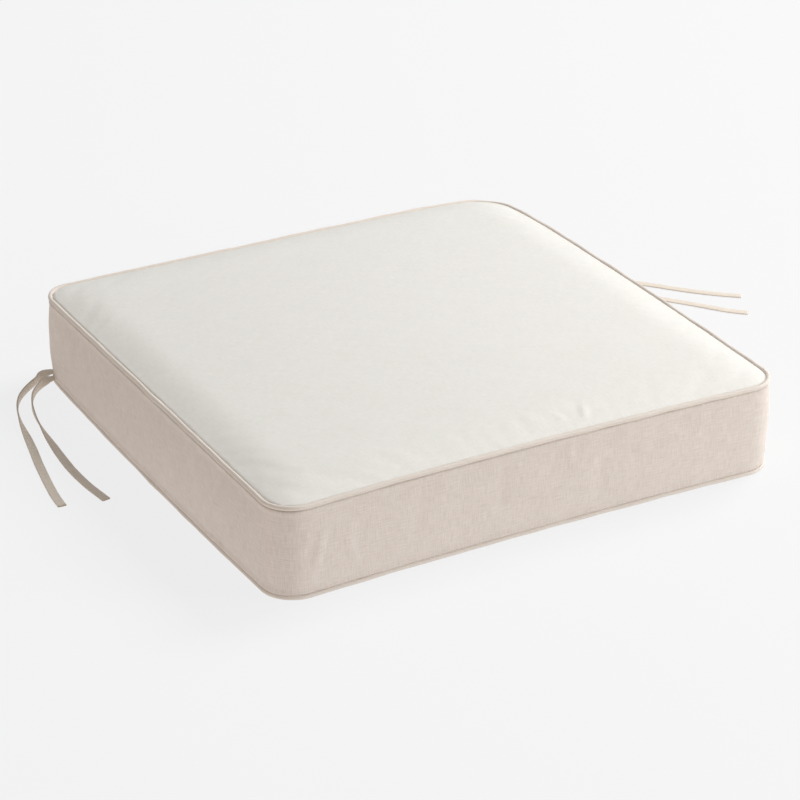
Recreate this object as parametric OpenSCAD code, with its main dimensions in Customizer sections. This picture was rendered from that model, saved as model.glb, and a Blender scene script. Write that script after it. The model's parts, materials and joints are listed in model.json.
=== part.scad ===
// Box seat cushion with piped edges, a zip along the back and a pair of ties at each back corner.
// The origin is on the ground under the middle of the cushion. The front faces -Y, the back +Y.

/* [Cushion] */
// Width over the piping, left to right
cushion_w = 508; // [410:1:640]
// Depth over the piping, front to back
cushion_d = 508; // [410:1:640]
// Height of the edge, over both pipings
edge_h = 89; // [70:1:130]
// How far the top panel rises above the edge, in the middle
crown_h = 10; // [4:1:20]
// Radius of the boxing at each upright corner
corner_r = 26; // [22:1:50]

/* [Cloth] */
// Thickness of the cover cloth
cloth_t = 1.2; // [0.8:0.1:2]
// Width of the seam allowance inside the cover
seam_w = 10; // [8:0.5:15]

/* [Piping] */
// Diameter of the piping over its cloth
welt_d = 4.2; // [3.8:0.1:7]
// Thickness of the thinner cloth strip that is wrapped round the piping cord
welt_cloth_t = 0.7; // [0.4:0.1:1.2]
// Slack between the piping cord and its cloth
welt_slack = 0.15; // [0.1:0.05:0.4]
// Gap between the piping and the face of the boxing
welt_gap = 0.1; // [0.05:0.05:0.5]

/* [Filling] */
// Thickness of the fibre wrap over the foam
wrap_t = 10; // [5:1:20]
// Gap between the filling and the cover
fill_gap = 0.3; // [0.1:0.1:1]
// Room left for the zip slider behind the back boxing
zip_room = 5.5; // [5:0.5:10]

/* [Zip] */
// Distance from the round of each back corner to the upright seam of the back boxing
seam_run = 4.4; // [2:0.2:30]
// Distance from that seam to the end of the zip
zip_end = 18; // [12:1:60]
// Height of the gap between the two back boxing strips
zip_window = 12; // [10:0.5:16]
// Width of each zip tape
tape_w = 14; // [10:0.5:18]
// Thickness of the zip tape
tape_t = 0.6; // [0.4:0.1:1]
// Distance from one tooth to the next
tooth_pitch = 3.2; // [2.4:0.1:5]
// Height of a tooth, across the zip
tooth_h = 2.4; // [1.8:0.1:3]
// Thickness of a tooth, front to back
tooth_t = 2.2; // [1.6:0.1:2.6]
// Gap between the two rows of teeth, where the neck of the slider runs
chain_gap = 1.0; // [0.8:0.1:1.4]

/* [Slider] */
// Length of the slider
slider_l = 10; // [8:0.5:14]
// Thickness of each slider plate
plate_t = 1.0; // [0.8:0.1:1.4]
// Clearance between the slider and the teeth and tape
run_gap = 0.35; // [0.3:0.05:0.6]
// Length of the pull tab from its pivot
tab_l = 20; // [14:1:26]
// Width of the pull tab
tab_w = 5; // [4:0.5:8]
// Thickness of the pull tab
tab_t = 1.2; // [0.8:0.1:1.4]

/* [Stitching] */
// Length of one topstitch
stitch_l = 3.2; // [2:0.1:4]
// Distance from one topstitch to the next
stitch_pitch = 4; // [3:0.1:6]
// Thickness of the sewing thread
thread_t = 0.45; // [0.3:0.05:0.8]

/* [Ties] */
// Width of each tie
tie_w = 8.5; // [6:0.5:9]
// Thickness of each tie
tie_t = 1.6; // [1:0.1:1.8]

/* [Hidden] */
$fn = 64;
CROWN_FN = 720;

// Faces of the boxing, and half of each
wall_w = cushion_w - 2 * (welt_d + welt_gap);
wall_d = cushion_d - 2 * (welt_d + welt_gap);
hw = wall_w / 2;
hd = wall_d / 2;

// Heights of the cloth layers in each seam: panel, piping flange, boxing lip
layer_1 = cloth_t;
layer_2 = 2 * cloth_t;
layer_3 = 3 * cloth_t;

// Piping path, measured from the face of the boxing
welt_r = welt_d / 2;
bore_r = welt_r - welt_cloth_t;
cord_r = bore_r - welt_slack;
path_off = welt_gap + welt_r;

// Crowned part of the top panel, inside the seam allowance
crown_w = wall_w - 2 * seam_w;
crown_d = wall_d - 2 * seam_w;

// Back boxing and zip planes, front to back
strip_half = hw - corner_r - seam_run;
hem_w = 8;
tape_y1 = hd - layer_2;
tape_y0 = tape_y1 - tape_t;
chain_y = (tape_y0 + tape_y1) / 2;
window_h2 = zip_window / 2;
zip_z = edge_h / 2;
tape_end = 1;

// Zip chain
zip_half = strip_half - zip_end;
tooth_z0 = chain_gap / 2;
tooth_z1 = tooth_z0 + tooth_h;
tooth_l = 0.55 * tooth_pitch;
bead_t = 1.5;
bead_h = 1;
tooth_n = floor(2 * zip_half / tooth_pitch);
stop_l = 2;
stop_t = 1;
stop_gap = 0.5;

// Slider
plate_y0 = tooth_t / 2 + run_gap;
plate_y1 = plate_y0 + plate_t;
rim_t = 0.9;
plate_h2 = tooth_z1 + run_gap + rim_t;
neck_t = 0.4;
neck_l = 3;
slider_x = -zip_half + slider_l / 2 + stop_gap;
bail_h2 = 0.9;
bail_reach = 3.4;
bail_t = 0.9;
pin_r = tab_t / 2;
pin_lift = 1.3;
pin_y = chain_y + plate_y1 + pin_lift;
bail_gap = 0.4;
arm_in = bail_h2 + bail_gap;
arm_root = 1;

// Filling
fill_off = cloth_t + fill_gap;
fill_lip = layer_3 + fill_gap;
fill_y1 = hd - cloth_t - zip_room;
fill_y0 = -hd + fill_off;
foam_y0 = fill_y0 + wrap_t;
foam_z0 = cloth_t + fill_gap + wrap_t;
foam_z1 = edge_h - foam_z0;
part_gap = 0.2;

// Bar tacks, as thread bars above the root of each tie
tack_rise = 1.4;
tack_pitch = 1.2;
tack_n = 3;
tack_gap = 0.06;
tack_sweep = 9;

// Routes of the ties. Each point is X, Y, Z of the middle of the tie, then how far it is
// turned from lying flat, in degrees. The last points lie on the ground.
TIE_ANGLE_A = 148;
TIE_ANGLE_B = 174;
TIE_LEFT_A = [
    [-245.3, 237.3, 5.2, 0], [-251.3, 240.9, 5.2, 8], [-257.6, 240.5, 5.1, 30], [-263.6, 237.2, 4.9, 62],
    [-270, 231.5, 4.6, 88], [-277, 226, 4.4, 90], [-284, 220, 4.4, 90], [-291, 213, 4.4, 90],
    [-298, 204.5, 4.4, 90], [-304.5, 193.5, 4.4, 90], [-310, 180, 4.4, 86], [-314, 165, 4.2, 72],
    [-317.5, 148, 3.4, 48], [-321, 128, 2.2, 22], [-325.5, 104, 1.1, 5], [-330.5, 80, 0.9, 0],
    [-335, 56, 0.9, 0], [-339, 32, 0.9, 0], [-342, 10, 0.9, 0], [-343, -6, 0.9, 0]
];
TIE_LEFT_B = [
    [-249.1, 226.4, 5.2, 0], [-256, 227.1, 5.2, 5], [-262, 226, 5.1, 30], [-267.5, 222.6, 4.9, 65],
    [-273, 217.5, 4.6, 90], [-279, 211.5, 4.4, 90], [-285, 203, 4.4, 90], [-290, 193, 4.4, 90],
    [-294.5, 181, 4.4, 90], [-298, 168, 4.4, 86], [-301, 153, 4.3, 76], [-303, 136, 3.8, 56],
    [-305, 117, 2.8, 32], [-306.5, 97, 1.7, 13], [-308, 76, 1, 3], [-309, 54, 0.9, 0],
    [-308.8, 31, 0.9, 0], [-307, 8, 0.9, 0], [-304, -14, 0.9, 0]
];
TIE_RIGHT_A = [
    [245.3, 237.3, 5.2, 0], [251.3, 240.9, 5.2, -8], [258, 240.5, 5.1, -30], [265.6, 236.2, 4.9, -62],
    [273, 229.5, 4.6, -88], [282, 222, 4.4, -90], [292, 213, 4.4, -84], [304, 203, 4, -62],
    [317, 192, 2.8, -32], [331, 180, 1.5, -10], [346, 167, 0.9, 0], [361, 153, 0.9, 0],
    [376, 137, 0.9, 0], [390, 120, 0.9, 0], [404, 104, 0.9, 0], [418, 90, 0.9, 0],
    [430, 79, 0.9, 0], [441, 70, 0.9, 0]
];
TIE_RIGHT_B = [
    [249.1, 226.4, 5.2, 0], [256, 227.1, 5.2, -5], [262.5, 226, 5.1, -30], [269, 222.1, 4.9, -65],
    [275, 216, 4.6, -90], [282, 208, 4.4, -90], [290, 198, 4.4, -86], [299, 186, 4.1, -66],
    [309, 173, 3.1, -36], [320, 159, 1.7, -12], [331.5, 145, 0.9, 0], [343, 131, 0.9, 0],
    [355, 117, 0.9, 0], [367, 102, 0.9, 0], [378, 88, 0.9, 0], [389, 74, 0.9, 0],
    [400, 59, 0.9, 0], [411, 45, 0.9, 0], [424, 33, 0.9, 0]
];

// Colours
LINEN = "#dfd8cd";
LINEN_PALE = "#e8e3da";
FOAM = "#f2e7b8";
FIBRE = "#fafafa";
NYLON = "#d8cfc2";
METAL = "#a9a9a9";

// ---------------------------------------------------------------- shared shapes

// Upright slab with round corners, w by d, from z0 to z1
module slab(w, d, r, z0, z1) {
    h = z1 - z0;
    translate([-w / 2 + r, -d / 2, z0]) cube([w - 2 * r, d, h]);
    translate([-w / 2, -d / 2 + r, z0]) cube([w, d - 2 * r, h]);
    for (x = [-1, 1], y = [-1, 1])
        translate([x * (w / 2 - r), y * (d / 2 - r), z0]) cylinder(r = r, h = h);
}

// Slab whose sides are set in from the faces of the boxing by off
module inset_slab(off, z0, z1) {
    slab(wall_w - 2 * off, wall_d - 2 * off, corner_r - off, z0, z1);
}

// Flat ring between two insets from the faces of the boxing
module inset_ring(off_out, off_in, z0, z1) {
    difference() {
        inset_slab(off_out, z0, z1);
        inset_slab(off_in, z0 - 1, z1 + 1);
    }
}

// Round bar of radius r that runs round the piping path at height z
module round_loop(r, z) {
    cr = corner_r + path_off;
    sx = hw - corner_r;
    sy = hd - corner_r;
    for (y = [-1, 1])
        translate([-sx, y * (sy + cr), z]) rotate([0, 90, 0]) cylinder(r = r, h = 2 * sx);
    for (x = [-1, 1])
        translate([x * (sx + cr), sy, z]) rotate([90, 0, 0]) cylinder(r = r, h = 2 * sy);
    for (i = [0:3])
        translate([(i == 0 || i == 3 ? 1 : -1) * sx, (i < 2 ? 1 : -1) * sy, z])
            rotate([0, 0, 90 * i]) rotate_extrude(angle = 90) translate([cr, 0]) circle(r = r);
}

// Solid under the crowned surface, lowered by drop, from z0 up
module crown_body(off, drop, z0) {
    rx = (crown_h * crown_h + crown_w * crown_w / 4) / (2 * crown_h);
    ry = (crown_h * crown_h + crown_d * crown_d / 4) / (2 * crown_h);
    top = edge_h + crown_h - drop;
    intersection() {
        inset_slab(off, z0, edge_h + crown_h + 1);
        translate([-hw, 0, top - ry]) rotate([0, 90, 0]) cylinder(r = ry, h = wall_w, $fn = CROWN_FN);
        translate([0, hd, top - rx]) rotate([90, 0, 0]) cylinder(r = rx, h = wall_d, $fn = CROWN_FN);
    }
}

// Zone of the back boxing strips, between the two upright seams
module back_zone() {
    translate([-strip_half, 0, -1]) cube([2 * strip_half, cushion_d, edge_h + 2]);
}

// ---------------------------------------------------------------- filling

// Everything inside the cover: a block between the seams and a crown on top
module filling() {
    difference() {
        union() {
            inset_slab(fill_off, fill_lip, edge_h - fill_lip);
            inset_slab(seam_w + fill_gap, fill_off, edge_h - fill_off);
            crown_body(seam_w + fill_gap, cloth_t + fill_gap, edge_h - fill_off - 1);
        }
        translate([-hw, fill_y1, 0]) cube([wall_w, cushion_d, edge_h + crown_h]);
    }
}

// Zone of the foam, grown by g
module foam_zone(g) {
    translate([-hw, foam_y0 - g, foam_z0 - g]) cube([wall_w, cushion_d, foam_z1 - foam_z0 + 2 * g]);
}

module foam_core() {
    color(FOAM) intersection() {
        filling();
        foam_zone(0);
    }
}

// Wrap over the top, round the front and under the bottom of the foam
module fibre_wrap() {
    color(FIBRE) difference() {
        filling();
        foam_zone(part_gap);
    }
}

// ---------------------------------------------------------------- cover

module top_panel() {
    color(LINEN_PALE) {
        inset_ring(0, seam_w, edge_h - layer_1, edge_h);
        difference() {
            crown_body(seam_w, 0, edge_h - layer_1);
            crown_body(seam_w, cloth_t, edge_h - layer_1 - 1);
        }
    }
}

module bottom_panel() {
    color(LINEN_PALE) inset_slab(0, 0, layer_1);
}

// Boxing wall all the way round, with a lip turned in along the top and the bottom seam
module boxing_ring() {
    inset_ring(0, cloth_t, layer_2, edge_h - layer_2);
    inset_ring(0, seam_w, layer_2, layer_3);
    inset_ring(0, seam_w, edge_h - layer_3, edge_h - layer_2);
}

module boxing_band() {
    color(LINEN) difference() {
        boxing_ring();
        back_zone();
    }
}

// One back strip, above (side 1) or below (side -1) the zip, with its edge turned under
module zip_boxing(side) {
    hem_z = zip_z + side * window_h2 + (side > 0 ? 0 : -hem_w);
    cut_z = side > 0 ? -1 : zip_z - window_h2;
    cut_h = side > 0 ? zip_z + window_h2 + 1 : edge_h;
    color(LINEN) {
        difference() {
            intersection() {
                boxing_ring();
                back_zone();
            }
            translate([-cushion_w / 2, 0, cut_z]) cube([cushion_w, cushion_d, cut_h]);
        }
        translate([-strip_half, hd - layer_2, hem_z]) cube([2 * strip_half, cloth_t, hem_w]);
    }
}

module zip_boxing_upper() {
    zip_boxing(1);
}

module zip_boxing_lower() {
    zip_boxing(-1);
}

// ---------------------------------------------------------------- piping

// Cloth sleeve with its flat flange, which is caught in the seam between flange_z0 and flange_z1
module piping_cover(loop_z, flange_z0, flange_z1) {
    color(LINEN_PALE) difference() {
        union() {
            round_loop(welt_r, loop_z);
            inset_ring(-path_off + bore_r, seam_w, flange_z0, flange_z1);
        }
        round_loop(bore_r, loop_z);
    }
}

module top_piping_cover() {
    piping_cover(edge_h - welt_r, edge_h - layer_2, edge_h - layer_1);
}

module bottom_piping_cover() {
    piping_cover(welt_r, layer_1, layer_2);
}

module top_piping_cord() {
    color(FIBRE) round_loop(cord_r, edge_h - welt_r);
}

module bottom_piping_cord() {
    color(FIBRE) round_loop(cord_r, welt_r);
}

// ---------------------------------------------------------------- zip

// One tape, above (side 1) or below (side -1) the chain
module zip_tape(side) {
    z = side > 0 ? tooth_z1 : -tape_w;
    color(NYLON) translate([-strip_half + tape_end, tape_y0, zip_z + z])
        cube([2 * (strip_half - tape_end), tape_t, tape_w - tooth_z1]);
}

module zip_tape_upper() {
    zip_tape(1);
}

module zip_tape_lower() {
    zip_tape(-1);
}

// One row of teeth on its bead, above (side 1) or below (side -1) the gap of the chain
module zip_teeth(side) {
    row_l = (tooth_n - 1) * tooth_pitch + tooth_l;
    shift = side > 0 ? 0 : tooth_pitch / 2;
    color(NYLON) translate([0, chain_y, zip_z]) mirror([0, 0, side > 0 ? 0 : 1]) {
        translate([-row_l / 2, -bead_t / 2, tooth_z1 - bead_h]) cube([row_l, bead_t, bead_h]);
        for (i = [0 : tooth_n - (side > 0 ? 1 : 2)])
            translate([-row_l / 2 + shift + i * tooth_pitch, -tooth_t / 2, tooth_z0])
                cube([tooth_l, tooth_t, tooth_h]);
    }
}

module zip_teeth_upper() {
    zip_teeth(1);
}

module zip_teeth_lower() {
    zip_teeth(-1);
}

// Staple across both tapes just past the last teeth
module zip_stop(x) {
    color(METAL) translate([x - stop_l / 2, tape_y1, zip_z - tooth_z1 - stop_l])
        cube([stop_l, stop_t, 2 * (tooth_z1 + stop_l)]);
}

module zip_stop_closed() {
    zip_stop(-zip_half - stop_l / 2 - stop_gap);
}

module zip_stop_open() {
    zip_stop(zip_half + stop_l / 2 + stop_gap);
}

// One plate of the slider with its rims, on the outer (side 1) or the inner (side -1) face
module slider_plate(side) {
    rim_y = tape_t / 2 + run_gap;
    mirror([0, side > 0 ? 0 : 1, 0]) {
        translate([-slider_l / 2, plate_y0, -plate_h2]) cube([slider_l, plate_t, 2 * plate_h2]);
        for (z = [-plate_h2, plate_h2 - rim_t])
            translate([-slider_l / 2, rim_y, z]) cube([slider_l, plate_y1 - rim_y, rim_t]);
    }
}

// Arch over the pivot of the pull tab
module slider_bail() {
    top_y = pin_lift + pin_r + bail_gap;
    for (x = [-bail_reach, bail_reach - bail_t])
        translate([x, plate_y1, -bail_h2]) cube([bail_t, top_y + bail_t, 2 * bail_h2]);
    translate([-bail_reach, plate_y1 + top_y, -bail_h2]) cube([2 * bail_reach, bail_t, 2 * bail_h2]);
}

module zip_slider() {
    color(METAL) translate([slider_x, chain_y, zip_z]) {
        slider_plate(1);
        slider_plate(-1);
        translate([-slider_l / 2, -plate_y1, -neck_t / 2]) cube([neck_l, 2 * plate_y1, neck_t]);
        slider_bail();
    }
}

// Tab with a pin under the arch of the slider and a round end with a hole
module zip_pull_tab() {
    window_x = bail_reach + 2 * bail_gap;
    end_x = tab_l - tab_w / 2;
    color(METAL) translate([slider_x, pin_y, zip_z]) {
        translate([0, 0, -tab_w / 2]) cylinder(r = pin_r, h = tab_w);
        for (z = [-tab_w / 2, arm_in])
            translate([0, -tab_t / 2, z]) cube([window_x + arm_root, tab_t, tab_w / 2 - arm_in]);
        difference() {
            union() {
                translate([window_x, -tab_t / 2, -tab_w / 2]) cube([end_x - window_x, tab_t, tab_w]);
                translate([end_x, tab_t / 2, 0]) rotate([90, 0, 0]) cylinder(r = tab_w / 2, h = tab_t);
            }
            translate([end_x, tab_t, 0]) rotate([90, 0, 0]) cylinder(r = tab_w / 4, h = 2 * tab_t);
        }
    }
}

// ---------------------------------------------------------------- stitching

// Row of stitches on the face of a back strip
module topstitch(side) {
    z = zip_z + side * (window_h2 + hem_w / 2) - thread_t / 2;
    n = floor(2 * strip_half / stitch_pitch) - 1;
    row_l = (n - 1) * stitch_pitch + stitch_l;
    color(LINEN_PALE) for (i = [0 : n - 1])
        translate([-row_l / 2 + i * stitch_pitch, hd, z]) cube([stitch_l, thread_t, thread_t]);
}

module zip_topstitch_upper() {
    topstitch(1);
}

module zip_topstitch_lower() {
    topstitch(-1);
}

// Thread bars on the boxing above the roots of the ties at one corner (side -1 left, 1 right)
module tie_tacks(side) {
    z0 = welt_d + tie_t + tack_rise;
    r0 = corner_r + tack_gap;
    color(LINEN_PALE) mirror([side > 0 ? 1 : 0, 0, 0])
        for (a = [TIE_ANGLE_A, TIE_ANGLE_B], i = [0 : tack_n - 1])
            translate([-hw + corner_r, hd - corner_r, z0 + i * tack_pitch])
                rotate([0, 0, a - tack_sweep / 2]) rotate_extrude(angle = tack_sweep)
                    translate([r0, 0]) square([thread_t, thread_t]);
}

module tie_tacks_left() {
    tie_tacks(-1);
}

module tie_tacks_right() {
    tie_tacks(1);
}

// ---------------------------------------------------------------- ties

function unit(v) = v / norm(v);

// Outline of a folded strip: flat faces and softened edges, counter-clockwise
function strip_outline() = [
    [tie_w / 2, -tie_t / 4], [tie_w / 2, tie_t / 4], [tie_w / 2 - tie_t / 2, tie_t / 2],
    [-tie_w / 2 + tie_t / 2, tie_t / 2], [-tie_w / 2, tie_t / 4], [-tie_w / 2, -tie_t / 4],
    [-tie_w / 2 + tie_t / 2, -tie_t / 2], [tie_w / 2 - tie_t / 2, -tie_t / 2]
];

function route_point(route, i) = [route[i][0], route[i][1], route[i][2]];

function route_way(route, i) = unit(
    route_point(route, min(i + 1, len(route) - 1)) - route_point(route, max(i - 1, 0))
);

// Ring of the strip at point i: its width is turned from level by the point's angle
function strip_ring(route, i) =
    let (
        way = route_way(route, i),
        side = unit(cross(way, [0, 0, 1])),
        up = cross(side, way),
        turn = route[i][3],
        across = side * cos(turn) + up * sin(turn),
        face = -side * sin(turn) + up * cos(turn)
    )
    [for (p = strip_outline()) route_point(route, i) + across * p[0] + face * p[1]];

// Strip swept along a route, as triangles
module tie(route) {
    n = len(route);
    k = len(strip_outline());
    points = [for (i = [0 : n - 1]) each strip_ring(route, i)];
    walls = [
        for (i = [0 : n - 2], j = [0 : k - 1])
            let (a = i * k + j, b = i * k + (j + 1) % k)
            each [[a, a + k, b], [b, a + k, b + k]]
    ];
    start = [for (j = [1 : k - 2]) [0, j, j + 1]];
    finish = [for (j = [1 : k - 2]) [(n - 1) * k, (n - 1) * k + j + 1, (n - 1) * k + j]];
    color(LINEN) polyhedron(points = points, faces = concat(walls, start, finish));
}

module tie_left_a() {
    tie(TIE_LEFT_A);
}

module tie_left_b() {
    tie(TIE_LEFT_B);
}

module tie_right_a() {
    tie(TIE_RIGHT_A);
}

module tie_right_b() {
    tie(TIE_RIGHT_B);
}

// ---------------------------------------------------------------- parts

foam_core();
fibre_wrap();
top_panel();
bottom_panel();
boxing_band();
zip_boxing_upper();
zip_boxing_lower();
zip_tape_upper();
zip_tape_lower();
zip_teeth_upper();
zip_teeth_lower();
zip_slider();
zip_pull_tab();
zip_stop_closed();
zip_stop_open();
top_piping_cover();
top_piping_cord();
bottom_piping_cover();
bottom_piping_cord();
zip_topstitch_upper();
zip_topstitch_lower();
tie_tacks_left();
tie_tacks_right();
tie_left_a();
tie_left_b();
tie_right_a();
tie_right_b();
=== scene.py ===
"""Looks of a box-edge seat cushion: a filled and piped cover, a zip along the back and corner ties."""

import json
import logging
import math
from collections.abc import Callable, Iterable
from dataclasses import dataclass, field
from enum import Enum

import bmesh
import bpy
from mathutils import Matrix, Vector, noise
from mathutils.bvhtree import BVHTree
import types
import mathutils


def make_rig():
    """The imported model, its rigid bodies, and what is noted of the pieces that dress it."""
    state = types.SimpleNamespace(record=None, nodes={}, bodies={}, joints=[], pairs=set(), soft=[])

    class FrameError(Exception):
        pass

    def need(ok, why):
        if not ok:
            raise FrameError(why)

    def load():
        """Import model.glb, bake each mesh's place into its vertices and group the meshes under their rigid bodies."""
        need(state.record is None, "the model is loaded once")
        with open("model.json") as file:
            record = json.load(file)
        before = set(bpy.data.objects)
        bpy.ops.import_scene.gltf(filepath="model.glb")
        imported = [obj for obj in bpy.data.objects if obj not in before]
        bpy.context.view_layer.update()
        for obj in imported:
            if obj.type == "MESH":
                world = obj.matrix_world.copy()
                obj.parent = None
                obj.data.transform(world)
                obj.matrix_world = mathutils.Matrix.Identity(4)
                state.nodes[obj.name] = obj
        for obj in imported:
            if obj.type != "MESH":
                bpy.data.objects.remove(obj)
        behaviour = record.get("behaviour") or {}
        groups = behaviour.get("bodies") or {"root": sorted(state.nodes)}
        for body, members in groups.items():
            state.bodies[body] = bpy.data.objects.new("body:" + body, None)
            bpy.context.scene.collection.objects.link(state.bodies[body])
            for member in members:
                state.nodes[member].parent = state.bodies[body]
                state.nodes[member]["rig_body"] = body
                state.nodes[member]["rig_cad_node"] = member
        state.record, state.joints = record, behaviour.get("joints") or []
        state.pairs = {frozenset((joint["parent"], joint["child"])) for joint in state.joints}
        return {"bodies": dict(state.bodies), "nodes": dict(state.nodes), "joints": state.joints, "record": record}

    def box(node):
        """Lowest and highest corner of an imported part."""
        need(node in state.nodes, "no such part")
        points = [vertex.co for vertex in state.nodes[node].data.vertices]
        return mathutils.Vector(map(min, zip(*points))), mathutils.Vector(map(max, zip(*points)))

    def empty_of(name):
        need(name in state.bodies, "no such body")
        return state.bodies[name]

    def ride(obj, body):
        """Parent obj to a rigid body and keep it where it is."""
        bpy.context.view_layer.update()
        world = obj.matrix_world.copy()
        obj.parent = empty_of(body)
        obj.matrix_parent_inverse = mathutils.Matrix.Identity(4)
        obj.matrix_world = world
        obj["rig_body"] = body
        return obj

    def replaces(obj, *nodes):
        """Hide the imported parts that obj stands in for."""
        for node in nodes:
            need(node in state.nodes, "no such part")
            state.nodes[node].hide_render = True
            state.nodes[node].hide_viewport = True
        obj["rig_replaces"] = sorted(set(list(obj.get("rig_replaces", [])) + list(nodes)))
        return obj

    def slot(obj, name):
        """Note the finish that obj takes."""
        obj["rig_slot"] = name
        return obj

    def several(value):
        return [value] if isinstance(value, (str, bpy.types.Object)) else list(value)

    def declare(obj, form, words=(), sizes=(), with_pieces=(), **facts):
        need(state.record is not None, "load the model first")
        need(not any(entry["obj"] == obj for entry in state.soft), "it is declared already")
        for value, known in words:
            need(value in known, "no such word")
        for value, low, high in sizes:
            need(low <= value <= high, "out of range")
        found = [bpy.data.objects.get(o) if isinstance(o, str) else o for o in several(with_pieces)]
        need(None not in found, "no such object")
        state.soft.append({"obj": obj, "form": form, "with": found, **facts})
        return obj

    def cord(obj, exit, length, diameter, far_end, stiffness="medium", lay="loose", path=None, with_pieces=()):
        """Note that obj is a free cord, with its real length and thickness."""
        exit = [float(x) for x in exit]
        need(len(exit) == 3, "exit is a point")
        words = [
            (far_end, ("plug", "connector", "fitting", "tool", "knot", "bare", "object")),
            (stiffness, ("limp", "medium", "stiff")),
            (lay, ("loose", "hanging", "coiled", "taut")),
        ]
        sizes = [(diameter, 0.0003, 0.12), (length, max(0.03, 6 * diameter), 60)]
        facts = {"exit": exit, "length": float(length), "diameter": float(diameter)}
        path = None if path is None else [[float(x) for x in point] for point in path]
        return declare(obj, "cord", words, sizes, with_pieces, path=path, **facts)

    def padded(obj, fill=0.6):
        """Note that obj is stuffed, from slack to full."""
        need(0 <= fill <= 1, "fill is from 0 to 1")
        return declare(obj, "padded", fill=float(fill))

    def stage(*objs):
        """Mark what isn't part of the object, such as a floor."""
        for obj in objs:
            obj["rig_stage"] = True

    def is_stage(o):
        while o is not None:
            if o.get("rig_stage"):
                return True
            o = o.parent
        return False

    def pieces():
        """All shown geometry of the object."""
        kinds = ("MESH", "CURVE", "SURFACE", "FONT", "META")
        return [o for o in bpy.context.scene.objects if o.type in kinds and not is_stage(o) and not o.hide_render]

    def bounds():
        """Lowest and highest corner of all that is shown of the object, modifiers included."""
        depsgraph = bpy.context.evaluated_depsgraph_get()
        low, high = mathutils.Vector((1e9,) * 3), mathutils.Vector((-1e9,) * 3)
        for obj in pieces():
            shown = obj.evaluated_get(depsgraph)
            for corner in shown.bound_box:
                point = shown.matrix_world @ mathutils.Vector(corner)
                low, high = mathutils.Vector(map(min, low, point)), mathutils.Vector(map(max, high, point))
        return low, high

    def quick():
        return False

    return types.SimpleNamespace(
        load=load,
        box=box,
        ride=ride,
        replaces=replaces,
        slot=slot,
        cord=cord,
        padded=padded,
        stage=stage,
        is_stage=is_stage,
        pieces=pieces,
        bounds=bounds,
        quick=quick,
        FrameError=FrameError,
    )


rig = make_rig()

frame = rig.load()

LOG = logging.getLogger("cushion")
MM = 0.001
CAD_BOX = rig.bounds()
SIZE_FILE = "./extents.json"
WEAVE = "weave"
CUSHION = "cushion"


class Part(Enum):
    """Part of the sewn cover that a face belongs to. The value is the face's material index."""

    TOP = 0
    BOXING = 1
    BOTTOM = 2


class Side(Enum):
    """Upper or lower half of the zipped back."""

    UPPER = 1
    LOWER = -1


# ---------------------------------------------------------------- small tools


def linear(code: str) -> tuple[float, float, float, float]:
    """Turns an sRGB hex colour into linear RGBA.

    Args:
        code: colour such as "#e0d8cc".

    Returns:
        Red, green, blue and alpha for a shader socket.
    """
    parts = [int(code[i : i + 2], 16) / 255 for i in (1, 3, 5)]
    lit = [c / 12.92 if c <= 0.04045 else ((c + 0.055) / 1.055) ** 2.4 for c in parts]
    return (lit[0], lit[1], lit[2], 1.0)


def clamp(value: float, low: float = 0.0, high: float = 1.0) -> float:
    """Returns value held between low and high."""
    return max(low, min(high, value))


def ease(value: float) -> float:
    """Returns a smooth step of value, which is first held between 0 and 1."""
    t = clamp(value)
    return t * t * (3 - 2 * t)


def ripple(point: Vector, length: float, seed: float = 0.0) -> float:
    """Samples smooth noise in space.

    Args:
        point: place in metres.
        length: size of one bump, in metres.
        seed: shift that gives another pattern.

    Returns:
        A value from about -1 to 1.
    """
    return noise.noise(point / length + Vector((seed, 2.7 * seed, -1.3 * seed)))


def skin(
    along: int,
    round_it: int,
    size: tuple[float, float],
    place: Callable[[float, float], Vector],
) -> bmesh.types.BMesh:
    """Bends a flat grid of quads into a swept or wrapped surface, and merges edges that meet.

    Args:
        along: number of quads along the first direction.
        round_it: number of quads along the second direction.
        size: real lengths of the two directions, which the weave follows.
        place: gives the point for two values from 0 to 1.

    Returns:
        The surface, with its UV map in metres.
    """
    bm = bmesh.new()
    bmesh.ops.create_grid(bm, x_segments=along, y_segments=round_it, size=0.5)
    uv = bm.loops.layers.uv.new(WEAVE)
    for face in bm.faces:
        for loop in face.loops:
            co = loop.vert.co
            loop[uv].uv = ((co.x + 0.5) * size[0], (co.y + 0.5) * size[1])
    for vert in bm.verts:
        vert.co = place(vert.co.x + 0.5, vert.co.y + 0.5)
    bmesh.ops.remove_doubles(bm, verts=bm.verts, dist=1e-6)
    return bm


def turn_out(bm: bmesh.types.BMesh) -> None:
    """Makes the faces point outwards: the face furthest from the middle shows which way that is."""
    bmesh.ops.recalc_face_normals(bm, faces=bm.faces)
    far = max(bm.faces, key=lambda face: face.calc_center_median().length)
    if far.normal.dot(far.calc_center_median()) < 0:
        bmesh.ops.reverse_faces(bm, faces=bm.faces)


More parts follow.
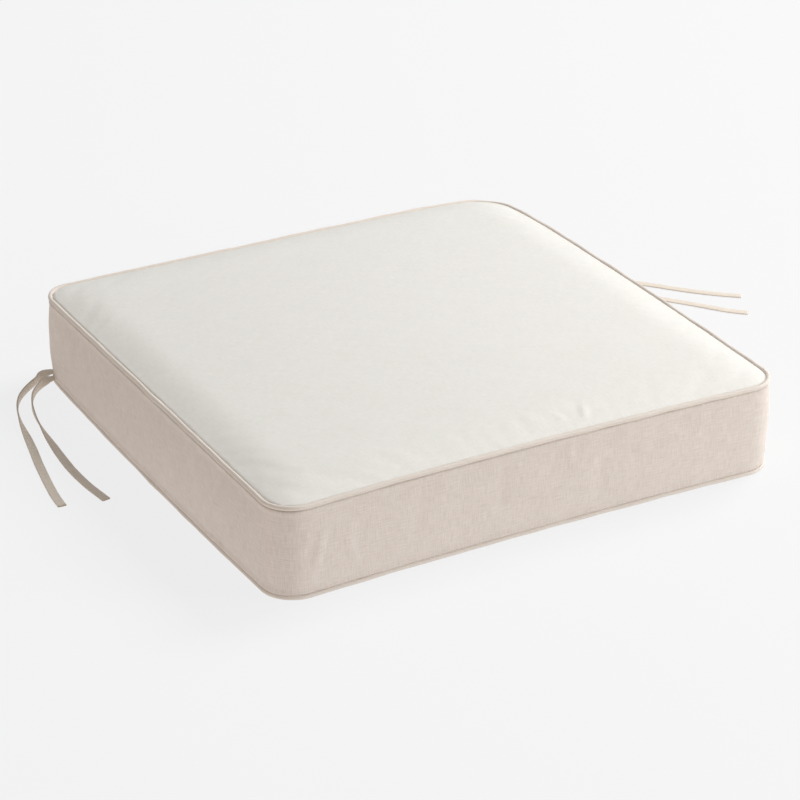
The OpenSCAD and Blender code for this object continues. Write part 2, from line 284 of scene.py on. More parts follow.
def in_order(bm: bmesh.types.BMesh) -> bmesh.types.BMesh:
    """Makes the faces anew in a fixed order, because an extrusion may give another one on each run.

    Args:
        bm: mesh with its weave laid, which is freed.

    Returns:
        The same mesh, with its edges and corners always in the same order.
    """
    bm.verts.index_update()
    made = bmesh.new()
    old_uv, new_uv = bm.loops.layers.uv[WEAVE], made.loops.layers.uv.new(WEAVE)
    verts = [made.verts.new(vert.co) for vert in bm.verts]
    rings = []
    for face in bm.faces:
        first = min(range(len(face.loops)), key=lambda k: face.loops[k].vert.index)
        rings.append([*face.loops[first:], *face.loops[:first]])
    for ring in sorted(rings, key=lambda ring: [loop.vert.index for loop in ring]):
        face = made.faces.new([verts[loop.vert.index] for loop in ring])
        face.material_index = ring[0].face.material_index
        for loop, old in zip(face.loops, ring):
            loop[new_uv].uv = old[old_uv].uv
    bm.free()
    return made


def finish_piece(
    bm: bmesh.types.BMesh,
    name: str,
    looks: Iterable[bpy.types.Material],
    slot: str,
    replaced: Iterable[str] = (),
    body: str = CUSHION,
) -> bpy.types.Object:
    """Turns a bmesh into a piece of the object.

    Args:
        bm: the mesh, in metres, where it belongs.
        name: name of the piece.
        looks: its materials, in the order of the faces' material indices.
        slot: material slot of the record.
        replaced: CAD nodes that it stands for.
        body: body that it rides on.

    Returns:
        The new object.
    """
    mesh = bpy.data.meshes.new(name)
    for face in bm.faces:
        face.smooth = True
    bm.to_mesh(mesh)
    bm.free()
    for look in looks:
        mesh.materials.append(look)
    piece = bpy.data.objects.new(name, mesh)
    bpy.context.scene.collection.objects.link(piece)
    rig.ride(piece, body)
    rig.slot(piece, slot)
    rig.replaces(piece, *replaced)
    LOG.info("%s: %d faces, stands for %s", name, len(mesh.polygons), ", ".join(replaced))
    return piece


def thicken(piece: bpy.types.Object, thickness: float) -> None:
    """Gives a sheet its cloth thickness, on the inside of its faces."""
    modifier = piece.modifiers.new("cloth thickness", "SOLIDIFY")
    modifier.thickness = thickness
    modifier.offset = -1
    modifier.use_even_offset = False


# ---------------------------------------------------------------- materials


def add(
    tree: bpy.types.NodeTree,
    kind: str,
    settings: dict | None = None,
    inputs: dict | None = None,
) -> bpy.types.Node:
    """Adds a node.

    Args:
        tree: node tree of the material.
        kind: node type.
        settings: properties to set.
        inputs: socket name or number, with a value or with the output to link.

    Returns:
        The node.
    """
    node = tree.nodes.new(kind)
    for key, value in (settings or {}).items():
        setattr(node, key, value)
    for key, value in (inputs or {}).items():
        if isinstance(value, bpy.types.NodeSocket):
            tree.links.new(value, node.inputs[key])
        else:
            node.inputs[key].default_value = value
    return node


@dataclass(frozen=True)
class Finish:
    """A finish made of one surface shader. A subclass draws its pattern."""

    name: str
    colour: str
    roughness: float = 0.8
    metallic: float = 0.0
    sheen: float = 0.0
    glow: float = 0.0
    glow_colour: str = "#ffffff"

    def surface(self, tree: bpy.types.NodeTree) -> tuple:
        """Draws the pattern.

        Args:
            tree: node tree of the material.

        Returns:
            The colour output and the normal output, either of which may be None.
        """
        return None, None

    def make(self) -> bpy.types.Material:
        """Builds the material and returns it."""
        material = bpy.data.materials.new(self.name)
        material.use_nodes = True
        material.diffuse_color = linear(self.colour)
        tree = material.node_tree
        tree.nodes.clear()
        colour, normal = self.surface(tree)
        inputs = {
            "Base Color": colour or linear(self.colour),
            "Roughness": self.roughness,
            "Metallic": self.metallic,
            "Sheen Weight": self.sheen,
            "Sheen Roughness": 0.5,
            "Emission Color": linear(self.glow_colour),
            "Emission Strength": self.glow,
        }
        if normal:
            inputs["Normal"] = normal
        shader = add(tree, "ShaderNodeBsdfPrincipled", None, inputs)
        add(tree, "ShaderNodeOutputMaterial", None, {"Surface": shader.outputs[0]})
        return material


@dataclass(frozen=True)
class WovenCloth(Finish):
    """Plain weave of slubby solution-dyed yarns, which gives a matt, faintly streaked face.

    Real yarns lie 0.6 mm apart. They are drawn about 1 mm apart, so that they still show.
    """

    yarn: float = 1.0 * MM
    relief: float = 0.10 * MM
    slub_length: float = 26 * MM
    light_yarn: str = "#f2ece3"
    dark_yarn: str = "#cfc4b4"
    streak: float = 0.5
    mottle_size: float = 30 * MM
    mottle: float = 0.12

    def yarns(self, tree: bpy.types.NodeTree, across: bpy.types.NodeSocket) -> bpy.types.NodeSocket:
        """Draws the wave of one set of yarns and returns its output."""
        turns = add(
            tree, "ShaderNodeMath", {"operation": "MULTIPLY"}, {0: across, 1: math.pi / self.yarn}
        )
        wave = add(tree, "ShaderNodeMath", {"operation": "SINE"}, {0: turns.outputs[0]})
        return wave.outputs[0]

    def slubs(
        self, tree: bpy.types.NodeTree, uv: bpy.types.NodeSocket, flip: bool
    ) -> bpy.types.NodeSocket:
        """Draws thick and thin stretches along one set of yarns.

        Args:
            tree: node tree of the material.
            uv: the weave's coordinates.
            flip: True for the yarns that run along V.

        Returns:
            The noise output.
        """
        fine, long = 1.1 / self.yarn, 1 / self.slub_length
        scale = (fine, long, 1.0) if flip else (long, fine, 1.0)
        place = add(tree, "ShaderNodeMapping", None, {"Vector": uv, "Scale": scale})
        grain = add(
            tree,
            "ShaderNodeTexNoise",
            None,
            {"Vector": place.outputs[0], "Scale": 1.0, "Detail": 2.0, "Roughness": 0.6},
        )
        return grain.outputs[0]

    def surface(self, tree: bpy.types.NodeTree) -> tuple:
        """Draws crossing yarns, slubs and a soft mottle; returns colour and normal."""
        uv = add(tree, "ShaderNodeUVMap", {"uv_map": WEAVE}).outputs[0]
        split = add(tree, "ShaderNodeSeparateXYZ", None, {0: uv})
        warp = self.yarns(tree, split.outputs[0])
        weft = self.yarns(tree, split.outputs[1])
        cross = add(tree, "ShaderNodeMath", {"operation": "MULTIPLY"}, {0: warp, 1: weft})
        over = add(
            tree, "ShaderNodeMath", {"operation": "MULTIPLY_ADD"}, {0: cross.outputs[0], 1: 0.5, 2: 0.5}
        )
        height = add(tree, "ShaderNodeMath", {"operation": "ABSOLUTE"}, {0: cross.outputs[0]})
        grains = [self.slubs(tree, uv, flip) for flip in (False, True)]
        which = add(
            tree,
            "ShaderNodeMix",
            {"data_type": "FLOAT"},
            {0: over.outputs[0], 2: grains[0], 3: grains[1]},
        )
        mottle = add(
            tree,
            "ShaderNodeTexNoise",
            None,
            {"Vector": uv, "Scale": 1 / self.mottle_size, "Detail": 3.0},
        )
        blend = add(
            tree,
            "ShaderNodeMath",
            {"operation": "MULTIPLY_ADD"},
            {0: mottle.outputs[0], 1: self.mottle, 2: -self.mottle / 2},
        )
        tone = add(
            tree, "ShaderNodeMath", {"operation": "ADD"}, {0: which.outputs[0], 1: blend.outputs[0]}
        )
        contrast = add(
            tree,
            "ShaderNodeMapRange",
            None,
            {0: tone.outputs[0], 1: 0.25, 2: 0.75, 3: 0.5 - self.streak / 2, 4: 0.5 + self.streak / 2},
        )
        colour = add(
            tree,
            "ShaderNodeMix",
            {"data_type": "RGBA"},
            {0: contrast.outputs[0], 6: linear(self.dark_yarn), 7: linear(self.light_yarn)},
        )
        lift = add(
            tree,
            "ShaderNodeMath",
            {"operation": "MULTIPLY_ADD"},
            {0: which.outputs[0], 1: 0.6, 2: height.outputs[0]},
        )
        bump = add(
            tree,
            "ShaderNodeBump",
            None,
            {"Strength": 1.0, "Distance": self.relief, "Height": lift.outputs[0]},
        )
        return colour.outputs[2], bump.outputs[0]


@dataclass(frozen=True)
class Twist(Finish):
    """Twisted strands, as on sewing thread and cotton cord: slanted ridges along the UV map."""

    pitch: float = 1.2 * MM
    relief: float = 0.1 * MM
    dark: str = "#cbbfae"

    def surface(self, tree: bpy.types.NodeTree) -> tuple:
        """Draws slanted ridges; returns colour and normal."""
        uv = add(tree, "ShaderNodeUVMap", {"uv_map": WEAVE}).outputs[0]
        split = add(tree, "ShaderNodeSeparateXYZ", None, {0: uv})
        slant = add(
            tree, "ShaderNodeMath", {"operation": "ADD"}, {0: split.outputs[0], 1: split.outputs[1]}
        )
        turns = add(
            tree,
            "ShaderNodeMath",
            {"operation": "MULTIPLY"},
            {0: slant.outputs[0], 1: math.pi / self.pitch},
        )
        wave = add(tree, "ShaderNodeMath", {"operation": "SINE"}, {0: turns.outputs[0]})
        ridge = add(tree, "ShaderNodeMath", {"operation": "ABSOLUTE"}, {0: wave.outputs[0]})
        colour = add(
            tree,
            "ShaderNodeMix",
            {"data_type": "RGBA"},
            {0: ridge.outputs[0], 6: linear(self.dark), 7: linear(self.colour)},
        )
        bump = add(
            tree,
            "ShaderNodeBump",
            None,
            {"Strength": 1.0, "Distance": self.relief, "Height": ridge.outputs[0]},
        )
        return colour.outputs[2], bump.outputs[0]


@dataclass(frozen=True)
class Grain(Finish):
    """Irregular grain on Object coordinates: foam cells, matted fibres or a cast skin."""

    size: tuple[float, float, float] = (1 * MM, 1 * MM, 1 * MM)
    relief: float = 0.1 * MM
    dark: str = "#808080"
    cells: bool = False

    def surface(self, tree: bpy.types.NodeTree) -> tuple:
        """Draws cells or stretched noise; returns colour and normal."""
        spot = add(tree, "ShaderNodeTexCoord").outputs["Object"]
        scale = tuple(1 / s for s in self.size)
        place = add(tree, "ShaderNodeMapping", None, {"Vector": spot, "Scale": scale})
        kind = "ShaderNodeTexVoronoi" if self.cells else "ShaderNodeTexNoise"
        grain = add(tree, kind, None, {"Vector": place.outputs[0], "Scale": 1.0})
        colour = add(
            tree,
            "ShaderNodeMix",
            {"data_type": "RGBA"},
            {0: grain.outputs[0], 6: linear(self.dark), 7: linear(self.colour)},
        )
        bump = add(
            tree,
            "ShaderNodeBump",
            None,
            {"Strength": 1.0, "Distance": self.relief, "Height": grain.outputs[0]},
        )
        return colour.outputs[2], bump.outputs[0]


# Outdoor acrylic canvas, dyed in the fibre and plain woven: matt, with a little fuzz at the edges
CANVAS = WovenCloth(
    "woven acrylic canvas",
    "#e8e5de",
    roughness=0.88,
    sheen=0.1,
    light_yarn="#f4f2ed",
    dark_yarn="#dcd9d1",
    slub_length=10 * MM,
    streak=0.7,
)
# The same cloth turned a quarter for the boxing, drawn warmer and a little darker than the top: painted warm light and
# a little painted shade, standing for the warm fill and floor bounce on the sides
WARM_LIT_CROSS_CANVAS = WovenCloth(
    "cross-cut acrylic canvas",
    "#ddd0c5",
    roughness=0.88,
    sheen=0.1,
    light_yarn="#f0e5dc",
    dark_yarn="#d0c3b8",
    slub_length=13 * MM,
    streak=1.0,
)
# The same cloth cut on the bias for the piping, so its yarns cross the tube aslant; drawn warmer than the top, with
# the same painted warm light as the boxing
WARM_LIT_BIAS_CANVAS = WovenCloth(
    "bias-cut acrylic canvas",
    "#e6ddd3",
    roughness=0.85,
    sheen=0.1,
    light_yarn="#f3e9df",
    dark_yarn="#d8ccc0",
    slub_length=7 * MM,
)
# The same cloth folded in four and pressed for the ties, drawn in the boxing's warm tone: painted warm light
WARM_LIT_TIE_CANVAS = WovenCloth(
    "folded acrylic canvas",
    "#d6c9bb",
    roughness=0.88,
    sheen=0.1,
    light_yarn="#efe5d8",
    dark_yarn="#d3c6b6",
    slub_length=14 * MM,
)
# Bonded polyester sewing thread: tight twist, slightly glossy
THREAD = Twist("bonded polyester thread", "#efe9de", roughness=0.5, pitch=0.5 * MM, relief=0.05 * MM)
# Twisted cotton filler cord: soft, unglossed strands
CORD = Twist("twisted cotton cord", "#efeadd", roughness=0.9, pitch=2 * MM, relief=0.3 * MM)
# Open-cell polyurethane foam, sliced: pale yellow with pin-sized pits
FOAM = Grain(
    "polyurethane foam",
    "#f3e6b4",
    roughness=0.95,
    size=(1.6 * MM,) * 3,
    relief=0.4 * MM,
    dark="#d9c684",
    cells=True,
)
# Carded polyester fibre: white, matted, with long soft fibres
BATTING = Grain(
    "polyester batting",
    "#fbfbf8",
    roughness=0.95,
    sheen=0.4,
    size=(12 * MM, 2 * MM, 2 * MM),
    relief=0.8 * MM,
    dark="#e2e2de",
)
# Woven polyester zip tape: fine ribs across its width
TAPE = Twist("woven zip tape", "#d8cfc2", roughness=0.75, pitch=1.0 * MM, relief=0.06 * MM, dark="#c2b7a6")
# Injection-moulded acetal: smooth with a soft gloss
ACETAL = Grain(
    "moulded acetal",
    "#ddd4c6",
    roughness=0.38,
    size=(0.6 * MM,) * 3,
    relief=0.01 * MM,
    dark="#d3c9ba",
)
# Zinc die casting, barrel-tumbled and nickel plated: grey metal with a soft sheen
NICKEL = Grain(
    "nickel-plated zinc",
    "#b9b7b2",
    roughness=0.32,
    metallic=1.0,
    size=(0.8 * MM,) * 3,
    relief=0.015 * MM,
    dark="#8f8d89",
)
# Matt sweep of translucent paper, lit from below as well, so that shadows stay faint
PAPER = Grain(
    "backlit paper sweep",
    "#605d58",
    roughness=0.95,
    glow=0.795,
    glow_colour="#fcfdff",
    size=(0.4,) * 3,
    relief=0.0,
    dark="#5f5c57",
)


# ---------------------------------------------------------------- ties


@dataclass
class Tie:
    """Narrow strip of folded and stitched cloth, lying as it fell.

    Each point of the route is X, Y and Z in metres and the strip's turn from lying flat, in degrees.
    """

    node: str
    length: float
    route: list[tuple[float, float, float, float]]
    width: float = 8.5 * MM
    thickness: float = 1.6 * MM
    steps: int = 6
    section_sides: int = 20
    groove: float = 0.35 * MM
    edge_shape: float = 0.45
    face_shape: float = 0.6
    unevenness: float = 0.15 * MM
    unevenness_size: float = 12 * MM
    sewn_share: float = 0.1
    mouth_depth: float = 1.6 * MM
    mouth_rim: float = 0.28 * MM

    def at(self, share: float) -> tuple[Vector, float]:
        """Finds a place on the smooth curve through the route.

        Args:
            share: from 0 at the cushion to 1 at the free end.

        Returns:
            The point and the turn in radians.
        """
        last = len(self.route) - 1
        index = min(int(share * last), last - 1)
        t = share * last - index
        corners = [Vector(self.route[min(max(index + k, 0), last)]) for k in (-1, 0, 1, 2)]
        a, b, c, d = corners
        spot = 0.5 * (
            2 * b + (c - a) * t + (2 * a - 5 * b + 4 * c - d) * t**2 + (3 * b - a - 3 * c + d) * t**3
        )
        return spot.to_3d(), math.radians(spot[3])

    def path(self) -> list[Vector]:
        """Returns the points of the centre line."""
        count = (len(self.route) - 1) * self.steps
        return [self.at(k / count)[0] for k in range(count + 1)]

    def place(self, share: float, round_it: float) -> Vector:
        """Places a point of the strip's skin.

        Args:
            share: from 0 at the cushion to 1 at the free end.
            round_it: from 0 to 1 round the section.

        Returns:
            The point.
        """
        step = 0.002
        spot, turn = self.at(share)
        way = (self.at(min(share + step, 1))[0] - self.at(max(share - step, 0))[0]).normalized()
        side = way.cross(Vector((0, 0, 1))).normalized()
        up = side.cross(way)
        angle = 2 * math.pi * round_it
        c, s = math.cos(angle), math.sin(angle)
        across = math.copysign(abs(c) ** self.edge_shape, c) * self.width / 2
        lift = math.copysign(abs(s) ** self.face_shape, s) * self.thickness / 2
        if abs(s) < 1e-6 and c > 0:
            across -= self.groove
        across_way = side * math.cos(turn) + up * math.sin(turn)
        face_way = up * math.cos(turn) - side * math.sin(turn)
        wave = self.unevenness * ripple(spot, self.unevenness_size) if share > self.sewn_share else 0.0
        return spot + across_way * (across + wave) + face_way * lift

    def build(self, cloth: bpy.types.Material) -> bpy.types.Object:
        count = (len(self.route) - 1) * self.steps
        size = (self.length, 2 * (self.width + self.thickness))
        bm = skin(count, self.section_sides, size, self.place)
        rims = [edge for edge in bm.edges if edge.is_boundary]
        bmesh.ops.holes_fill(bm, edges=rims, sides=0)
        turn_out(bm)
        tip = self.at(1)[0]
        ends = [face for face in bm.faces if len(face.verts) > 4]
        end = min(ends, key=lambda face: (face.calc_center_median() - tip).length)
        inward = -end.normal * self.mouth_depth
        bmesh.ops.inset_region(bm, faces=[end], thickness=self.mouth_rim)
        hollow = bmesh.ops.extrude_discrete_faces(bm, faces=[end])["faces"]
        for vert in {v for face in hollow for v in face.verts}:
            vert.co += inward
        piece = finish_piece(bm, f"{self.node}_strip", [cloth], "tie_cloth", [self.node])
        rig.cord(
            piece,
            exit=self.route[0][:3],
            length=self.length,
            diameter=self.width,
            far_end="bare",
            stiffness="limp",
            lay="loose",
            path=self.path(),
        )
        return piece


TIES = [
    Tie(
        "tie_left_a",
        0.284,
        [
            (-0.2453, 0.2373, 0.0052, 0), (-0.2513, 0.2409, 0.0052, 8), (-0.2576, 0.2405, 0.0051, 30),
            (-0.2636, 0.2372, 0.0049, 62), (-0.270, 0.2315, 0.0046, 88), (-0.277, 0.226, 0.0044, 90),
            (-0.284, 0.220, 0.0044, 90), (-0.291, 0.213, 0.0044, 90), (-0.298, 0.2045, 0.0044, 90),
            (-0.3045, 0.1935, 0.0044, 90), (-0.310, 0.180, 0.0044, 86), (-0.314, 0.165, 0.0042, 72),
            (-0.3175, 0.148, 0.0034, 48), (-0.321, 0.128, 0.0022, 22), (-0.3255, 0.104, 0.0011, 5),
            (-0.3305, 0.080, 0.0009, 0), (-0.335, 0.056, 0.0009, 0), (-0.339, 0.032, 0.0009, 0),
            (-0.342, 0.010, 0.0009, 0), (-0.343, -0.006, 0.0009, 0),
        ],
    ),
    Tie(
        "tie_left_b",
        0.266,
        [
            (-0.2491, 0.2264, 0.0052, 0), (-0.256, 0.2271, 0.0052, 5), (-0.262, 0.226, 0.0051, 30),
            (-0.2675, 0.2226, 0.0049, 65), (-0.273, 0.2175, 0.0046, 90), (-0.279, 0.2115, 0.0044, 90),
            (-0.285, 0.203, 0.0044, 90), (-0.290, 0.193, 0.0044, 90), (-0.2945, 0.181, 0.0044, 90),
            (-0.298, 0.168, 0.0044, 86), (-0.301, 0.153, 0.0043, 76), (-0.303, 0.136, 0.0038, 56),
            (-0.305, 0.117, 0.0028, 32), (-0.3065, 0.097, 0.0017, 13), (-0.308, 0.076, 0.001, 3),
            (-0.309, 0.054, 0.0009, 0), (-0.3088, 0.031, 0.0009, 0), (-0.307, 0.008, 0.0009, 0),
            (-0.304, -0.014, 0.0009, 0),
        ],
    ),
    Tie(
        "tie_right_a",
        0.265,
        [
            (0.2453, 0.2373, 0.0052, 0), (0.2513, 0.2409, 0.0052, -8), (0.258, 0.2405, 0.0051, -30),
            (0.2656, 0.2362, 0.0049, -62), (0.273, 0.2295, 0.0046, -88), (0.282, 0.222, 0.0044, -90),
            (0.292, 0.213, 0.0044, -84), (0.304, 0.203, 0.004, -62), (0.317, 0.192, 0.0028, -32),
            (0.331, 0.180, 0.0015, -10), (0.346, 0.167, 0.0009, 0), (0.361, 0.153, 0.0009, 0),
            (0.376, 0.137, 0.0009, 0), (0.390, 0.120, 0.0009, 0), (0.404, 0.104, 0.0009, 0),
            (0.418, 0.090, 0.0009, 0), (0.430, 0.079, 0.0009, 0), (0.441, 0.070, 0.0009, 0),
        ],
    ),
    Tie(
        "tie_right_b",
        0.266,
        [
            (0.2491, 0.2264, 0.0052, 0), (0.256, 0.2271, 0.0052, -5), (0.2625, 0.226, 0.0051, -30),
            (0.269, 0.2221, 0.0049, -65), (0.275, 0.216, 0.0046, -90), (0.282, 0.208, 0.0044, -90),
            (0.290, 0.198, 0.0044, -86), (0.299, 0.186, 0.0041, -66), (0.309, 0.173, 0.0031, -36),
            (0.320, 0.159, 0.0017, -12), (0.3315, 0.145, 0.0009, 0), (0.343, 0.131, 0.0009, 0),
            (0.355, 0.117, 0.0009, 0), (0.367, 0.102, 0.0009, 0), (0.378, 0.088, 0.0009, 0),
            (0.389, 0.074, 0.0009, 0), (0.400, 0.059, 0.0009, 0), (0.411, 0.045, 0.0009, 0),
            (0.424, 0.033, 0.0009, 0),
        ],
    ),
]


# ---------------------------------------------------------------- plan of the cushion


@dataclass
class Plan:
    """Round-cornered outline of the cover, and how the filled cover sits within it."""

    half_w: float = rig.box("boxing_band")[1].x
    half_d: float = -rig.box("boxing_band")[0].y
    edge_h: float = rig.box("top_piping_cover")[1].z
    corner_r: float = 26 * MM
    front_bow_top: float = 6 * MM
    front_bow_bottom: float = 5 * MM
    right_bow: float = 4 * MM
    foot_spread: float = 4 * MM
    corner_draw: float = 5.5 * MM
    corner_droop: float = 5.0 * MM

    @property
    def straight_w(self) -> float:
        """Half of the straight run along X."""
        return self.half_w - self.corner_r

    @property
    def straight_d(self) -> float:
        """Half of the straight run along Y."""
        return self.half_d - self.corner_r

    @property
    def quarter(self) -> float:
        """Length of a quarter of the outline."""
        return self.straight_w + math.pi / 2 * self.corner_r + self.straight_d

    def depth(self, x: float, y: float) -> float:
        """Returns how far a point lies inside the outline."""
        qx, qy = abs(x) - self.straight_w, abs(y) - self.straight_d
        outside = math.hypot(max(qx, 0), max(qy, 0))
        return self.corner_r - outside - min(max(qx, qy), 0)

    def outward(self, x: float, y: float) -> Vector:
        """Returns the level direction out of the nearest side."""
        qx, qy = abs(x) - self.straight_w, abs(y) - self.straight_d
        if qx > 0 and qy > 0:
            return Vector((math.copysign(qx, x), math.copysign(qy, y), 0)).normalized()
        if qx > qy:
            return Vector((math.copysign(1, x), 0, 0))
        return Vector((0, math.copysign(1, y), 0))

    def arc(self, x: float, y: float) -> float:
        """Returns the distance along the outline, clockwise from the middle of the back."""
        qx, qy = abs(x) - self.straight_w, abs(y) - self.straight_d
        if qx > 0 and qy > 0:
            part = self.straight_w + self.corner_r * math.atan2(qx, qy)
        elif qx > qy:
            part = self.quarter - abs(y)
        else:
            part = abs(x)
        if y >= 0:
            return part if x >= 0 else 4 * self.quarter - part
        return 2 * self.quarter - part if x >= 0 else 2 * self.quarter + part

    def on_outline(self, arc: float, out: float) -> Vector:
        """Finds a point by its place along the outline.

        Args:
            arc: distance clockwise from the middle of the back.
            out: distance outside the outline.

        Returns:
            The point at height 0.
        """
        turn, part = divmod(arc % (4 * self.quarter), self.quarter)
        mirrored = int(turn) % 2 == 1
        if mirrored:
            part = self.quarter - part
        bend = math.pi / 2 * self.corner_r
        if part <= self.straight_w:
            spot = Vector((part, self.half_d + out, 0))
        elif part <= self.straight_w + bend:
            angle = (part - self.straight_w) / self.corner_r
            reach = self.corner_r + out
            spot = Vector(
                (
                    self.straight_w + reach * math.sin(angle),
                    self.straight_d + reach * math.cos(angle),
                    0,
                )
            )
        else:
            spot = Vector((self.half_w + out, self.quarter - part, 0))
        flip_x = -1 if turn >= 2 else 1
        flip_y = -1 if turn in (1, 2) else 1
        return Vector((flip_x * spot.x, flip_y * spot.y, 0))

    def round_off(self, x: float, y: float) -> tuple[float, float]:
        """Moves a point of the square from -1 to 1 onto its round-cornered ring."""
        ring = max(abs(x), abs(y))
        if ring < 1e-9:
            return 0.0, 0.0
        r = self.corner_r * ring**4
        wide, deep = ring * self.half_w, ring * self.half_d
        bend = math.pi / 4 * r
        if abs(x) >= abs(y):
            run, share = deep - r, abs(y) / ring
        else:
            run, share = wide - r, abs(x) / ring
        s = share * (run + bend)
        angle = max(s - run, 0) / r if r > 0 else 0.0
        near = min(s, run) + r * math.sin(angle)
        drop = r * (1 - math.cos(angle))
        if abs(x) >= abs(y):
            return math.copysign(wide - drop, x), math.copysign(near, y)
        return math.copysign(near, x), math.copysign(deep - drop, y)

    def settle(self, co: Vector) -> Vector:
        """Shifts a point the way the filled cover sits.

        The edges bow, the foot spreads a little, and one back corner draws in and droops.

        Args:
            co: the point before.

        Returns:
            The point after.
        """
        fx, fy, up = co.x / self.half_w, co.y / self.half_d, clamp(co.z / self.edge_h)
        front = clamp(-fy) ** 3 * (1 - clamp(abs(fx)) ** 2)
        side = 1 - clamp(abs(fy)) ** 2
        dy = front * (self.front_bow_top * up + self.front_bow_bottom * (1 - up))
        dx = clamp(fx) ** 3 * side * self.right_bow * up
        dx += math.copysign(abs(fx) ** 3, fx) * side * self.foot_spread * (1 - up)
        far = (clamp(fx) * clamp(fy)) ** 6 * up
        dx, dy = dx - far * self.corner_draw, dy - far * self.corner_draw
        return co + Vector((dx, dy, -far * self.corner_droop))


# ---------------------------------------------------------------- cover


@dataclass
class Crease:
    """A soft fold or pucker in the cover."""

    centre: tuple[float, float, float]
    way: tuple[float, float, float]
    length: float
    width: float
    depth: float

    def lift(self, co: Vector) -> float:
        """Returns how far the cloth stands out of its smooth form at a point."""
        off = co - Vector(self.centre)
        along = off.dot(Vector(self.way).normalized())
        across = (off - Vector(self.way).normalized() * along).length
        share = abs(along) / self.length
        if share > 1 or across > 3 * self.width:
            return 0.0
        ridge = (1 - (across / self.width) ** 2) * math.exp(-((across / self.width) ** 2))
        return self.depth * ease(1 - share) * ridge


